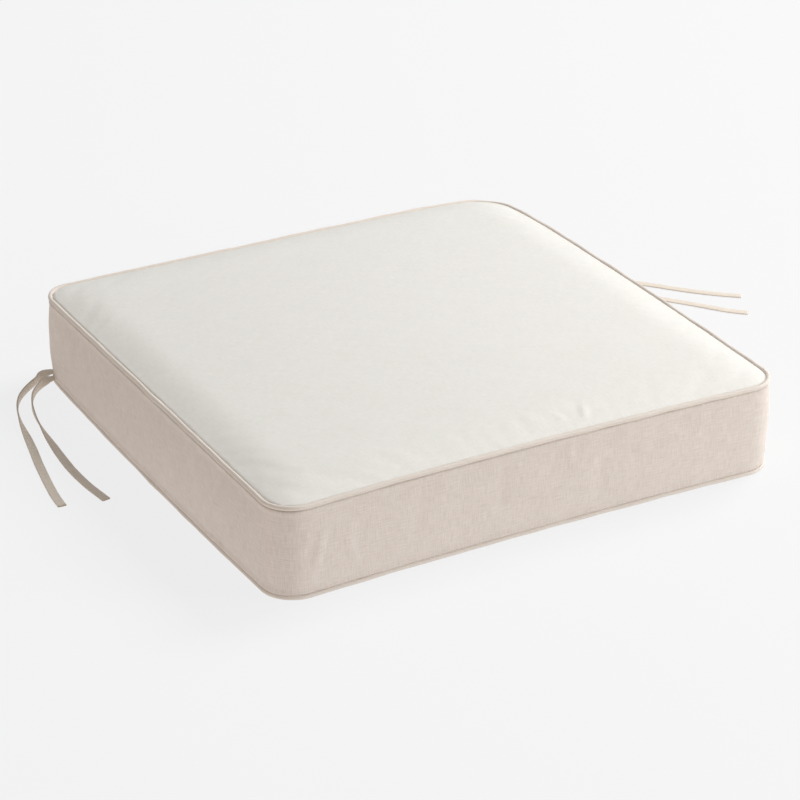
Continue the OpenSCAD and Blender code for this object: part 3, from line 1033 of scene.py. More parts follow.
@dataclass
class Cover:
    """The sewn cover: inflated as one closed form, then cut along its seams into its panels."""

    plan: Plan
    cells: int = 84
    wall_rows: int = 6
    window_rows: int = 2
    cloth: float = 1.1 * MM
    seam_inset: float = 1.8 * MM
    roll_w: float = 32 * MM
    edge_rise: float = 5.5 * MM
    crown_rise: float = 4.5 * MM
    bulge: float = 5.0 * MM
    fullness: float = 0.38
    overhang: float = 0.4 * MM
    shoulder: float = 3.2 * MM
    groove: float = 2.9 * MM
    foot_groove: float = 2.5 * MM
    foot_roll: float = 12 * MM
    roll_shape: float = 0.85
    top_lift: float = 0.3 * MM
    foot_sink: float = 1.6 * MM
    pull_reach: float = 9 * MM
    upright_tuck: float = 1.0 * MM
    upright_reach: float = 3.5 * MM
    tape_margin: float = 3 * MM
    rim_reach: float = 1.5 * MM
    cut_reach: float = 0.2 * MM
    floor_gap: float = 0.05 * MM
    flat_half: float = 6 * MM
    flat_fade: float = 26 * MM
    flat_margin: float = 12 * MM
    lip: float = 10 * MM
    hem: float = 8 * MM
    cap: float = 5 * MM
    share: float = 0.4
    frames: int = 20
    pucker_depth: float = 0.28 * MM
    pucker_reach: float = 14 * MM
    pucker_length: float = 13 * MM
    pucker_start: float = 3 * MM
    panel_start: float = 6 * MM
    unevenness: float = 0.25 * MM
    unevenness_size: float = 60 * MM
    unevenness_start: float = 12 * MM
    creases: list[Crease] = field(default_factory=list)

    def __post_init__(self) -> None:
        """Works out the heights and the back zone from the frame."""
        self.seam_top = self.plan.edge_h - self.seam_inset
        self.seam_foot = self.seam_inset
        upper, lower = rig.box("zip_boxing_upper"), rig.box("zip_boxing_lower")
        self.window = (lower[1].z, upper[0].z)
        self.strip_half = upper[1].x

    def levels(self) -> list[float]:
        """Returns the heights of the boxing's rows, from the top seam down."""
        low, high = self.window
        spans = [
            (self.seam_top, high, self.wall_rows),
            (high, low, self.window_rows),
            (low, self.seam_foot, self.wall_rows),
        ]
        rows = [a + (b - a) * k / n for a, b, n in spans for k in range(n)]
        return [*rows, self.seam_foot]

    def cage(self) -> bmesh.types.BMesh:
        """Builds the closed cage: two round-cornered panels joined by the rows of the boxing."""
        bm = bmesh.new()
        bmesh.ops.create_grid(bm, x_segments=self.cells, y_segments=self.cells, size=1)
        uv = bm.loops.layers.uv.new(WEAVE)
        for vert in bm.verts:
            x, y = self.plan.round_off(vert.co.x, vert.co.y)
            vert.co = (x, y, self.seam_top)
        for face in bm.faces:
            face.material_index = Part.TOP.value
            for loop in face.loops:
                loop[uv].uv = loop.vert.co.xy
        rim = [edge for edge in bm.edges if edge.is_boundary]
        copied = bmesh.ops.duplicate(bm, geom=[*bm.verts, *bm.edges, *bm.faces])["geom"]
        for item in copied:
            if isinstance(item, bmesh.types.BMVert):
                item.co.z = self.seam_foot
            elif isinstance(item, bmesh.types.BMFace):
                item.material_index = Part.BOTTOM.value
        for level in self.levels()[1:]:
            grown = bmesh.ops.extrude_edge_only(bm, edges=rim)["geom"]
            rim = [item for item in grown if isinstance(item, bmesh.types.BMEdge)]
            for item in grown:
                if isinstance(item, bmesh.types.BMVert):
                    item.co.z = level
                elif isinstance(item, bmesh.types.BMFace):
                    item.material_index = Part.BOXING.value
        bmesh.ops.remove_doubles(bm, verts=bm.verts, dist=1e-6)
        self.lay_boxing_weave(bm)
        turn_out(bm)
        return in_order(bm)

    def lay_boxing_weave(self, bm: bmesh.types.BMesh) -> None:
        """Lays the boxing's weave along the strip that it is cut from."""
        uv = bm.loops.layers.uv[WEAVE]
        for face in bm.faces:
            if face.material_index != Part.BOXING.value:
                continue
            arcs = [self.plan.arc(loop.vert.co.x, loop.vert.co.y) for loop in face.loops]
            wraps = max(arcs) - min(arcs) > self.plan.quarter
            for loop, arc in zip(face.loops, arcs):
                start = 4 * self.plan.quarter if wraps and arc < self.plan.quarter else 0.0
                loop[uv].uv = (arc + start, loop.vert.co.z)

    def roll(self, share: float) -> float:
        """Returns the rounded rise of a filled edge, from 0 at the seam to 1 inside."""
        return math.sin(math.pi / 2 * clamp(share)) ** self.roll_shape

    def form(self, co: Vector, part: Part) -> Vector:
        """Gives a point of the cage its filled place.

        Args:
            co: the point on the flat-sided cage.
            part: the part that it belongs to.

        Returns:
            The point on the filled form.
        """
        inside = self.plan.depth(co.x, co.y)
        if part is Part.TOP:
            dome = (1 - (co.x / self.plan.half_w) ** 2) * (1 - (co.y / self.plan.half_d) ** 2)
            rise = self.edge_rise * self.roll(inside / self.roll_w) + self.crown_rise * dome
            return co + Vector((0, 0, rise))
        if part is Part.BOTTOM:
            return co - Vector((0, 0, self.seam_foot * self.roll(inside / self.foot_roll)))
        share = (co.z - self.seam_foot) / (self.seam_top - self.seam_foot)
        fill = max(math.sin(math.pi * clamp(share)), 0) ** self.fullness
        return co + self.plan.outward(co.x, co.y) * self.bulge * fill * self.give(co)

    def give(self, co: Vector) -> float:
        """Returns how freely the boxing bulges: the zip tape holds the middle of the back flat."""
        if co.y < self.plan.straight_d:
            return 1.0
        near = ease((self.strip_half + self.flat_margin - abs(co.x)) / (2 * self.flat_margin))
        away = abs(co.z - sum(self.window) / 2) - self.flat_half
        return 1 - near * (1 - ease(away / self.flat_fade))

    def held(self, co: Vector) -> bool:
        """Tells whether a point of the cage is sewn to a seam or to the zip tape."""
        on_seam = abs(self.plan.depth(co.x, co.y)) < 1e-5
        at_edge = co.z > self.seam_top - 1e-5 or co.z < self.seam_foot + 1e-5
        low, high = self.window
        at_zip = co.y > self.plan.half_d - 1e-5 and abs(co.x) < self.strip_half + self.tape_margin
        return on_seam and (at_edge or (at_zip and low - 1e-5 < co.z < high + 1e-5))

    def inflate(self, piece: bpy.types.Object) -> None:
        """Fills the form with a short cloth simulation, caps each point's way and takes a share."""
        start = [vert.co.copy() for vert in piece.data.vertices]
        modifier = piece.modifiers.new("filling", "CLOTH")
        cloth = modifier.settings
        cloth.quality = 6
        cloth.mass = 0.3
        cloth.tension_stiffness = 12
        cloth.compression_stiffness = 12
        cloth.shear_stiffness = 4
        cloth.bending_stiffness = 0.6
        cloth.shrink_min = -0.008
        cloth.use_pressure = True
        cloth.uniform_pressure_force = 4
        cloth.vertex_group_mass = "held"
        cloth.effector_weights.gravity = 0
        modifier.collision_settings.use_collision = False
        for step in range(1, self.frames + 1):
            bpy.context.scene.frame_set(step)
        graph = bpy.context.evaluated_depsgraph_get()
        moved = [vert.co.copy() for vert in piece.evaluated_get(graph).data.vertices]
        piece.modifiers.remove(modifier)
        bpy.context.scene.frame_set(1)
        reach = 0.0
        for vert, before, after in zip(piece.data.vertices, start, moved):
            way = after - before
            reach = max(reach, way.length)
            if way.length > self.cap:
                way *= self.cap / way.length
            vert.co = before + way * self.share
        LOG.info("cover form: the filling moved the cloth by up to %.1f mm", reach / MM)

    def filled_form(self) -> bmesh.types.BMesh:
        """Returns the filled form, refined once, still in one closed piece."""
        bm = self.cage()
        crease = bm.edges.layers.float.new("crease_edge")
        seams = {Part.TOP.value, Part.BOXING.value, Part.BOTTOM.value}
        for edge in bm.edges:
            if len({face.material_index for face in edge.link_faces} & seams) > 1:
                edge[crease] = 1.0
        group = bm.verts.layers.deform.verify()
        for vert in bm.verts:
            vert[group][0] = 1.0 if self.held(vert.co) else 0.0
        for vert in bm.verts:
            parts = {face.material_index for face in vert.link_faces}
            if len(parts) == 1:
                vert.co = self.form(vert.co, Part(parts.pop()))
        mesh = bpy.data.meshes.new("cover form")
        bm.to_mesh(mesh)
        bm.free()
        form = bpy.data.objects.new("cover form", mesh)
        bpy.context.scene.collection.objects.link(form)
        form.vertex_groups.new(name="held")
        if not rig.quick():
            self.inflate(form)
        smooth = form.modifiers.new("smooth", "SUBSURF")
        smooth.levels = 1
        smooth.render_levels = 1
        graph = bpy.context.evaluated_depsgraph_get()
        shape = bmesh.new()
        shape.from_object(form, graph)
        bpy.data.objects.remove(form)
        bpy.data.meshes.remove(mesh)
        return shape

    def detail(self, bm: bmesh.types.BMesh) -> None:
        """Adds the puckers that a gathered seam gives, and the chosen creases."""
        bm.normal_update()
        for vert in bm.verts:
            co = vert.co
            inside = self.plan.depth(co.x, co.y)
            away = min(abs(co.z - self.seam_top), abs(co.z - self.seam_foot))
            away = max(away, abs(inside)) if abs(inside) > self.panel_start else away
            near = ease(1 - away / self.pucker_reach) * ease(away / self.pucker_start)
            arc = self.plan.arc(co.x, co.y)
            upper = co.z > self.plan.edge_h / 2
            wave = noise.noise(Vector((arc / self.pucker_length, 4.0 * upper, 0.5)))
            lift = self.pucker_depth * near * wave
            soft = self.unevenness * ripple(co, self.unevenness_size, 3.1)
            lift += soft * ease(away / self.unevenness_start)
            lift += sum(crease.lift(co) for crease in self.creases)
            vert.co = co + vert.normal * lift

    def only(self, bm: bmesh.types.BMesh, keep: Callable[[bmesh.types.BMFace], bool]) -> bmesh.types.BMesh:
        """Returns a copy of the mesh with only the faces that keep accepts."""
        part = bm.copy()
        part.faces.ensure_lookup_table()
        dropped = [face for face in part.faces if not keep(face)]
        bmesh.ops.delete(part, geom=dropped, context="FACES")
        for face in part.faces:
            face.material_index = 0
        return part

    def cut_back(self, bm: bmesh.types.BMesh) -> None:
        """Cuts the boxing along the upright seams and the zip window of the back."""
        planes = [((side * self.strip_half, 0, 0), (1, 0, 0)) for side in (-1, 1)]
        planes += [((0, 0, level), (0, 0, 1)) for level in self.window]
        for spot, way in planes:
            faces = [f for f in bm.faces if f.calc_center_median().y > self.plan.straight_d]
            back = set(faces)
            edges = [e for e in bm.edges if not back.isdisjoint(e.link_faces)]
            verts = [v for v in bm.verts if not back.isdisjoint(v.link_faces)]
            bmesh.ops.bisect_plane(
                bm, geom=[*verts, *edges, *faces], dist=1e-6, plane_co=spot, plane_no=way
            )

    def in_back(self, face: bmesh.types.BMFace) -> bool:
        """Tells whether a face lies in the back, between the two upright seams."""
        centre = face.calc_center_median()
        return centre.y > self.plan.straight_d and abs(centre.x) < self.strip_half

    def pull_seam(self, bm: bmesh.types.BMesh, out: float, top: float, foot: float) -> None:
        """Moves cloth near the piped seams outwards, and up or down, so that it meets the piping.

        Args:
            bm: the panel's mesh.
            out: shift outwards at both seams.
            top: shift at the top seam.
            foot: shift at the bottom seam.
        """
        for vert in bm.verts:
            edge = ease(1 - abs(self.plan.depth(vert.co.x, vert.co.y)) / self.pull_reach)
            upper = ease(1 - abs(vert.co.z - self.seam_top) / self.pull_reach)
            lower = ease(1 - abs(vert.co.z - self.seam_foot) / self.pull_reach)
            vert.co += self.plan.outward(vert.co.x, vert.co.y) * out * edge * (upper + lower)
            vert.co.z += edge * (top * upper + foot * lower)

    def turn_in(self, bm: bmesh.types.BMesh, level: float, reach: float) -> None:
        """Turns the raw edge at one height inwards as a lip.

        Args:
            bm: the mesh of the boxing or a back strip.
            level: height of the edge.
            reach: width of the lip.
        """
        rim = [
            e
            for e in bm.edges
            if e.is_boundary and all(abs(v.co.z - level) < self.rim_reach for v in e.verts)
        ]
        grown = bmesh.ops.extrude_edge_only(bm, edges=rim)["geom"]
        for item in grown:
            if isinstance(item, bmesh.types.BMVert):
                item.co -= self.plan.outward(item.co.x, item.co.y) * reach

    def fold_hem(self, bm: bmesh.types.BMesh, side: Side) -> None:
        """Folds the edge at the zip window back behind the strip."""
        level = self.window[1] if side is Side.UPPER else self.window[0]
        rim = [
            e
            for e in bm.edges
            if e.is_boundary and all(abs(v.co.z - level) < self.cut_reach for v in e.verts)
        ]
        round_turn = [(0.3, -0.7), (0.7, -0.3), (0.7, 0.3), (0.3, 0.7)]
        moves = [(-back * self.cloth, rise * self.cloth) for back, rise in round_turn]
        moves.append((0.0, self.hem))
        for back, rise in moves:
            grown = bmesh.ops.extrude_edge_only(bm, edges=rim)["geom"]
            rim = [item for item in grown if isinstance(item, bmesh.types.BMEdge)]
            for item in grown:
                if isinstance(item, bmesh.types.BMVert):
                    item.co += Vector((0, back, rise * side.value))

    def tuck_uprights(self, bm: bmesh.types.BMesh) -> None:
        """Draws the cloth in along the two upright seams of the back."""
        for vert in bm.verts:
            if vert.co.y > self.plan.straight_d:
                off = abs(abs(vert.co.x) - self.strip_half)
                vert.co.y -= self.upright_tuck * ease(1 - off / self.upright_reach)

    def panel(
        self,
        bm: bmesh.types.BMesh,
        name: str,
        node: str,
        cloth: bpy.types.Material,
    ) -> bpy.types.Object:
        """Args:
            bm: the panel's outer face.
            name: name of the piece.
            node: CAD node that it stands for.
            cloth: its material.

        Returns:
            The piece.
        """
        for vert in bm.verts:
            vert.co = self.plan.settle(vert.co)
            vert.co.z = max(vert.co.z, self.floor_gap)
        piece = finish_piece(bm, name, [cloth], "cover_cloth", [node])
        thicken(piece, self.cloth)
        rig.padded(piece, fill=0.85)
        return piece

    def build(self, cloth: bpy.types.Material, cross: bpy.types.Material) -> dict[str, BVHTree]:
        """Builds every panel of the cover.

        Args:
            cloth: material of the top and the bottom panel.
            cross: material of the boxing, drawn warmer and a little darker than the top with painted warm light and
                shade.

        Returns:
            The outer face of the boxing band and of each back strip, for laying stitches on.
        """
        form = self.filled_form()
        self.detail(form)
        top = self.only(form, lambda f: f.material_index == Part.TOP.value)
        self.pull_seam(top, self.overhang, self.top_lift, 0)
        self.panel(top, "top_panel_cloth", "top_panel", cloth)
        foot = self.only(form, lambda f: f.material_index == Part.BOTTOM.value)
        self.pull_seam(foot, 0, 0, -self.foot_sink)
        self.panel(foot, "bottom_panel_cloth", "bottom_panel", cloth)
        wall = self.only(form, lambda f: f.material_index == Part.BOXING.value)
        form.free()
        self.cut_back(wall)
        self.tuck_uprights(wall)
        self.pull_seam(wall, self.shoulder, -self.groove, self.foot_groove)
        faces = {}
        band = self.only(wall, lambda f: not self.in_back(f))
        self.close_strip(band)
        faces["band"] = self.settled_tree(band)
        self.panel(band, "boxing_band_cloth", "boxing_band", cross)
        middle = sum(self.window) / 2
        for side in Side:
            strip = self.only(
                wall,
                lambda f: self.in_back(f)
                and (f.calc_center_median().z - middle) * side.value > self.window[1] - middle,
            )
            self.close_strip(strip)
            self.fold_hem(strip, side)
            word = side.name.lower()
            faces[word] = self.settled_tree(strip)
            self.panel(strip, f"zip_boxing_{word}_cloth", f"zip_boxing_{word}", cross)
        wall.free()
        return faces

    def close_strip(self, bm: bmesh.types.BMesh) -> None:
        """Turns in the lips along the top and the bottom seam."""
        self.turn_in(bm, self.seam_top - self.groove, self.lip)
        self.turn_in(bm, self.seam_foot + self.foot_groove, self.lip)

    def settled_tree(self, bm: bmesh.types.BMesh) -> BVHTree:
        """Returns a search tree of the mesh as it sits when it is settled."""
        copy = bm.copy()
        for vert in copy.verts:
            vert.co = self.plan.settle(vert.co)
        tree = BVHTree.FromBMesh(copy)
        copy.free()
        return tree


# Folds that stay in the cloth where the filling pulls at the seams
CREASES = [
    Crease((0.062, -0.226, 0.091), (-0.45, -1.0, 0.0), 22 * MM, 5.0 * MM, 1.5 * MM),
    Crease((0.036, -0.228, 0.091), (0.3, -1.0, 0.0), 16 * MM, 4.2 * MM, 0.9 * MM),
    Crease((0.034, -0.256, 0.074), (0.1, 0.0, 1.0), 20 * MM, 5.0 * MM, 1.5 * MM),
    Crease((-0.215, -0.256, 0.045), (0.3, 0.0, 1.0), 28 * MM, 5.5 * MM, 1.6 * MM),
    Crease((-0.184, -0.256, 0.038), (-0.25, 0.0, 1.0), 22 * MM, 5.0 * MM, 1.0 * MM),
    Crease((-0.228, 0.150, 0.090), (1.0, 0.3, 0.0), 15 * MM, 4.5 * MM, -1.3 * MM),
    Crease((-0.228, 0.112, 0.090), (1.0, -0.2, 0.0), 13 * MM, 4.0 * MM, -1.1 * MM),
    Crease((-0.226, 0.020, 0.090), (1.0, 0.2, 0.0), 13 * MM, 4.0 * MM, -0.9 * MM),
]


# ---------------------------------------------------------------- piping


@dataclass
class Piping:
    """A cord in a bias strip of cloth, sewn into the seam all round one edge."""

    plan: Plan
    level: Side
    gap: float = 0.1 * MM
    flange: float = 10 * MM
    flange_half: float = 0.35 * MM
    flange_height: float = 1.8 * MM
    wall: float = 0.55 * MM
    steps: int = 520
    tube_sides: int = 18
    cord_sides: int = 10
    waver: float = 0.9 * MM
    sway_size: float = 34 * MM
    rise_size: float = 22 * MM
    waver_start: float = 1 * MM

    def __post_init__(self) -> None:
        """Takes the radii of the tube and the cord from the frame."""
        self.word = "top" if self.level is Side.UPPER else "bottom"
        low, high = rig.box(f"{self.word}_piping_cover")
        self.tube_r = (high.z - low.z) / 2
        low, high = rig.box(f"{self.word}_piping_cord")
        self.cord_r = (high.z - low.z) / 2
        self.flange_drop = self.tube_r - self.flange_height

    @property
    def tube_z(self) -> float:
        """Height of the middle of the tube."""
        return self.plan.edge_h - self.tube_r if self.level is Side.UPPER else self.tube_r

    def section(self, share: float) -> tuple[float, float]:
        """Finds a point of the wrapped strip's section.

        Args:
            share: from 0 to 1, in along the lower flange, round the tube and back.

        Returns:
            Distance out from the boxing's face, and height from the middle of the tube.
        """
        flip = 1 if self.level is Side.UPPER else -1
        mid = self.flange_drop
        low = math.asin((mid - self.flange_half) / self.tube_r)
        high = math.asin((mid + self.flange_half) / self.tube_r)
        start, end = math.pi - low, 3 * math.pi - high
        centre = self.gap + self.tube_r
        edge = 2 / (self.tube_sides + 4)
        if share <= edge:
            t = share / edge
            foot = centre + self.tube_r * math.cos(start)
            out, up = -self.flange + t * (self.flange + foot), mid - self.flange_half
        elif share >= 1 - edge:
            t = (1 - share) / edge
            foot = centre + self.tube_r * math.cos(end)
            out, up = -self.flange + t * (self.flange + foot), mid + self.flange_half
        else:
            t = (share - edge) / (1 - 2 * edge)
            angle = start + t * (end - start)
            out = centre + self.tube_r * math.cos(angle)
            up = self.tube_r * math.sin(angle)
        return out, flip * up

    def place(self, share: float, round_it: float) -> Vector:
        """Places a point of the piping's cloth."""
        arc = share * 4 * self.plan.quarter
        out, up = self.section(round_it)
        spot = self.plan.on_outline(arc, out)
        on_tube = ease((out + self.waver_start) / self.waver_start)
        drift = Vector((spot.x, spot.y, 0))
        sway = self.waver * on_tube * ripple(drift, self.sway_size, 1.7)
        rise = 0.5 * self.waver * on_tube * ripple(drift, self.rise_size, 5.3)
        if self.level is Side.LOWER:
            rise = max(rise, 0)
        spot += self.plan.outward(spot.x, spot.y) * sway
        spot.z = self.tube_z + up + rise
        return self.plan.settle(spot)

    def build(self, cloth: bpy.types.Material, cotton: bpy.types.Material) -> None:
        """Builds the cloth sleeve with its flange, and the cord inside it."""
        word = self.word
        length = 4 * self.plan.quarter
        girth = 2 * math.pi * self.tube_r + 2 * self.flange
        bm = skin(self.steps, self.tube_sides + 4, (length, girth), self.place)
        turn_out(bm)
        sleeve = finish_piece(
            bm, f"{word}_piping_sleeve", [cloth], "piping_cloth", [f"{word}_piping_cover"]
        )
        thicken(sleeve, self.wall)
        core = skin(self.steps, self.cord_sides, (length, 2 * math.pi * self.cord_r), self.cord_place)
        turn_out(core)
        finish_piece(core, f"{word}_piping_twist", [cotton], "piping_cord", [f"{word}_piping_cord"])

    def cord_place(self, share: float, round_it: float) -> Vector:
        """Places a point of the cord."""
        angle = 2 * math.pi * round_it
        spot = self.plan.on_outline(
            share * 4 * self.plan.quarter, self.gap + self.tube_r + self.cord_r * math.cos(angle)
        )
        spot.z = self.tube_z + self.cord_r * math.sin(angle)
        return self.plan.settle(spot)


# ---------------------------------------------------------------- filling


@dataclass
class Filling:
    """The foam block and the fibre that is wrapped over it."""

    cover: Cover
    wrap_steps: int = 60
    round_front: float = 12 * MM
    clear: float = 2.2 * MM
    under: float = 1.2 * MM
    foot: float = 1.6 * MM
    inner: float = 0.4 * MM
    back_step: float = 1 * MM
    front_depth: float = 9 * MM
    side_step: float = 3 * MM
    fluff: float = 0.25 * MM
    tuft_depth: float = 30 * MM
    tuft_height: float = 25 * MM
    foam_cuts: int = 12
    foam_corner: float = 24 * MM
    foam_edge: float = 2 * MM

    @property
    def plan(self) -> Plan:
        """The cushion's plan."""
        return self.cover.plan

    def build_foam(self, foam: bpy.types.Material) -> None:
        """Builds the foam block with softened edges."""
        low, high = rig.box("foam_core")
        bm = bmesh.new()
        bmesh.ops.create_cube(bm, size=1)
        bmesh.ops.transform(bm, verts=bm.verts, matrix=Matrix.Diagonal((*(high - low), 1)))
        bmesh.ops.translate(bm, verts=bm.verts, vec=(low + high) / 2)
        upright = [e for e in bm.edges if abs(e.verts[0].co.z - e.verts[1].co.z) > 1e-4]
        bmesh.ops.bevel(
            bm,
            geom=upright,
            offset=self.foam_corner,
            segments=8,
            profile=0.5,
            affect="EDGES",
            material=-1,
        )
        level = [e for e in bm.edges if e.calc_face_angle(0) > 1.2]
        bmesh.ops.bevel(
            bm,
            geom=level,
            offset=self.foam_edge,
            segments=3,
            profile=0.5,
            affect="EDGES",
            material=-1,
        )
        for axis in (0, 1):
            way = Vector((axis == 0, axis == 1, 0))
            for k in range(1, self.foam_cuts):
                spot = low + (high - low) * k / self.foam_cuts
                geom = [*bm.verts, *bm.edges, *bm.faces]
                bmesh.ops.bisect_plane(bm, geom=geom, dist=1e-5, plane_co=spot, plane_no=way)
        for vert in bm.verts:
            vert.co = self.plan.settle(vert.co)
        piece = finish_piece(bm, "foam_block", [foam], "foam", ["foam_core"])
        piece.data.set_sharp_from_angle(angle=math.radians(35))
        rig.padded(piece, fill=1.0)

    def under_cover(self, x: float, y: float) -> float:
        """Returns the height of the wrap's upper face, just below the top panel."""
        spot = Vector((x, y, self.cover.seam_top))
        return self.cover.form(spot, Part.TOP).z - self.cover.cloth - self.under

    def outline(self, x: float) -> list[Vector]:
        """Works out the wrap's section: over the top, down the front and back under the foam.

        Args:
            x: place across the cushion.

        Returns:
            Points in the plane across X, closed, outer face first.
        """
        foam_low, foam_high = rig.box("foam_core")
        r, foot = self.round_front, self.foot
        back, front = foam_high.y - self.back_step, foam_low.y - self.front_depth
        nose = foam_low.y - self.inner
        points = []
        for k in range(41):
            y = back + (front + r - back) * k / 40
            points.append(Vector((x, y, self.under_cover(x, y))))
        top = points[-1].z
        for k in range(1, 6):
            a = math.pi / 2 * k / 5
            points.append(Vector((x, front + r * (1 - math.sin(a)), top - r * (1 - math.cos(a)))))
        for k in range(1, 8):
            points.append(Vector((x, front, top - r + (foot + 2 * r - top) * k / 8)))
        for k in range(6):
            a = math.pi / 2 * k / 5
            points.append(Vector((x, front + r * (1 - math.cos(a)), foot + r * (1 - math.sin(a)))))
        for k in range(1, 13):
            points.append(Vector((x, front + r + (back - front - r) * k / 12, foot)))
        for k in range(13):
            points.append(Vector((x, back + (nose - back) * k / 12, foam_low.z - self.inner)))
        for k in range(1, 13):
            points.append(Vector((x, nose + (back - nose) * k / 12, foam_high.z + self.inner)))
        return points

    def place_wrap(self, share: float, round_it: float) -> Vector:
        """Places a point of the fibre, a little lumpy and drawn in at the rounded corners."""
        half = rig.box("fibre_wrap")[1].x - self.side_step
        points = self.outline(half * (2 * share - 1))
        point = points[round(round_it * len(points)) % len(points)]
        loose = Vector((0, ripple(point, self.tuft_depth, 2.2), ripple(point, self.tuft_height, 4.4)))
        short = self.clear - self.plan.depth(point.x, point.y)
        if short > 0:
            point = point - self.plan.outward(point.x, point.y) * short
        return self.plan.settle(point + loose * self.fluff)

    def build_wrap(self, batting: bpy.types.Material) -> None:
        """Builds the fibre."""
        low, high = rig.box("fibre_wrap")
        count = len(self.outline(0))
        size = (high.x - low.x, 2 * (high.y - low.y))
        bm = skin(self.wrap_steps, count, size, self.place_wrap)
        rims = [edge for edge in bm.edges if edge.is_boundary]
        bmesh.ops.holes_fill(bm, edges=rims, sides=0)
        turn_out(bm)
        piece = finish_piece(bm, "fibre_wrap_batt", [batting], "fibre", ["fibre_wrap"])
        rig.padded(piece, fill=0.5)


# ---------------------------------------------------------------- zip


@dataclass
class Zip:
    """Tapes, teeth, stops, slider and pull tab, each with the CAD's shape and softened edges."""

    bend_gap: float = 1 * MM
    bend_steps: int = 3
    bend_run: float = 9 * MM
    bend_width: float = 3 * MM
    meet_gap: float = 0.1 * MM
    tape_edge: float = 0.15 * MM
    tooth_edge: float = 0.22 * MM
    slider_edge: float = 0.22 * MM
    metal_edge: float = 0.25 * MM

    def join_ends(self, bm: bmesh.types.BMesh) -> None:
        """Bends a tape's inner edge beyond the stops, so that the two tapes meet where they are sewn.

        Args:
            bm: mesh of the tape.
        """
        low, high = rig.box("zip_stop_closed")
        middle = (low.z + high.z) / 2
        start = max(abs(low.x), abs(high.x)) + self.bend_gap
        for step in range(self.bend_steps + 1):
            for side in (-1, 1):
                spot = (side * (start + self.bend_run * step / self.bend_steps), 0, 0)
                geom = [*bm.verts, *bm.edges, *bm.faces]
                bmesh.ops.bisect_plane(bm, geom=geom, dist=1e-6, plane_co=spot, plane_no=(1, 0, 0))
        edge = min(abs(vert.co.z - middle) for vert in bm.verts)
        for vert in bm.verts:
            near = ease(1 - (abs(vert.co.z - middle) - edge) / self.bend_width)
            beyond = ease((abs(vert.co.x) - start) / self.bend_run)
            way = math.copysign(edge - self.meet_gap, middle - vert.co.z)
            vert.co.z += way * near * beyond

    def soften(
        self,
        node: str,
        name: str,
        look: bpy.types.Material,
        slot: str,
        edge: float,
        body: str = CUSHION,
    ) -> None:
        """Builds a piece from a CAD node's own faces, with its edges rounded.

        Args:
            node: the CAD node.
            name: name of the piece.
            look: its material.
            slot: material slot of the record.
            edge: radius of the rounded edges.
            body: body that it rides on.
        """
        bm = bmesh.new()
        bm.from_mesh(frame["nodes"][node].data)
        bmesh.ops.remove_doubles(bm, verts=bm.verts, dist=1e-6)
        bmesh.ops.dissolve_limit(
            bm, angle_limit=math.radians(1), verts=bm.verts, edges=bm.edges
        )
        sharp = [e for e in bm.edges if e.is_manifold and e.calc_face_angle(0) > 0.6]
        bmesh.ops.bevel(
            bm,
            geom=sharp,
            offset=edge,
            segments=2,
            profile=0.5,
            affect="EDGES",
            material=-1,
            clamp_overlap=True,
        )
        if node.startswith("zip_tape"):
            self.join_ends(bm)
        uv = bm.loops.layers.uv.new(WEAVE)
        for face in bm.faces:
            for loop in face.loops:
                loop[uv].uv = (loop.vert.co.x, loop.vert.co.z)
        piece = finish_piece(bm, name, [look], slot, [node], body)
        piece.data.set_sharp_from_angle(angle=math.radians(40))

    def build(
        self, tape: bpy.types.Material, acetal: bpy.types.Material, nickel: bpy.types.Material
    ) -> None:
        """Builds every piece of the zip."""
        for side in Side:
            word = side.name.lower()
            tape_name, row_name = f"zip_tape_{word}_web", f"zip_teeth_{word}_row"
            self.soften(f"zip_tape_{word}", tape_name, tape, "zip_tape", self.tape_edge)
            self.soften(f"zip_teeth_{word}", row_name, acetal, "zip_teeth", self.tooth_edge)
        for word in ("closed", "open"):
            stop = f"zip_stop_{word}"
            self.soften(stop, f"{stop}_staple", nickel, "zip_metal", self.metal_edge)
        for body, edge in (("slider", self.slider_edge), ("pull_tab", self.metal_edge)):
            self.soften(f"zip_{body}", f"zip_{body}_cast", nickel, "zip_metal", edge, body)


# ---------------------------------------------------------------- stitching


# Turns a round ball's poles from Z to X, so that a stitch tapers to its two ends
LYING = Matrix.Rotation(math.pi / 2, 4, "Y")


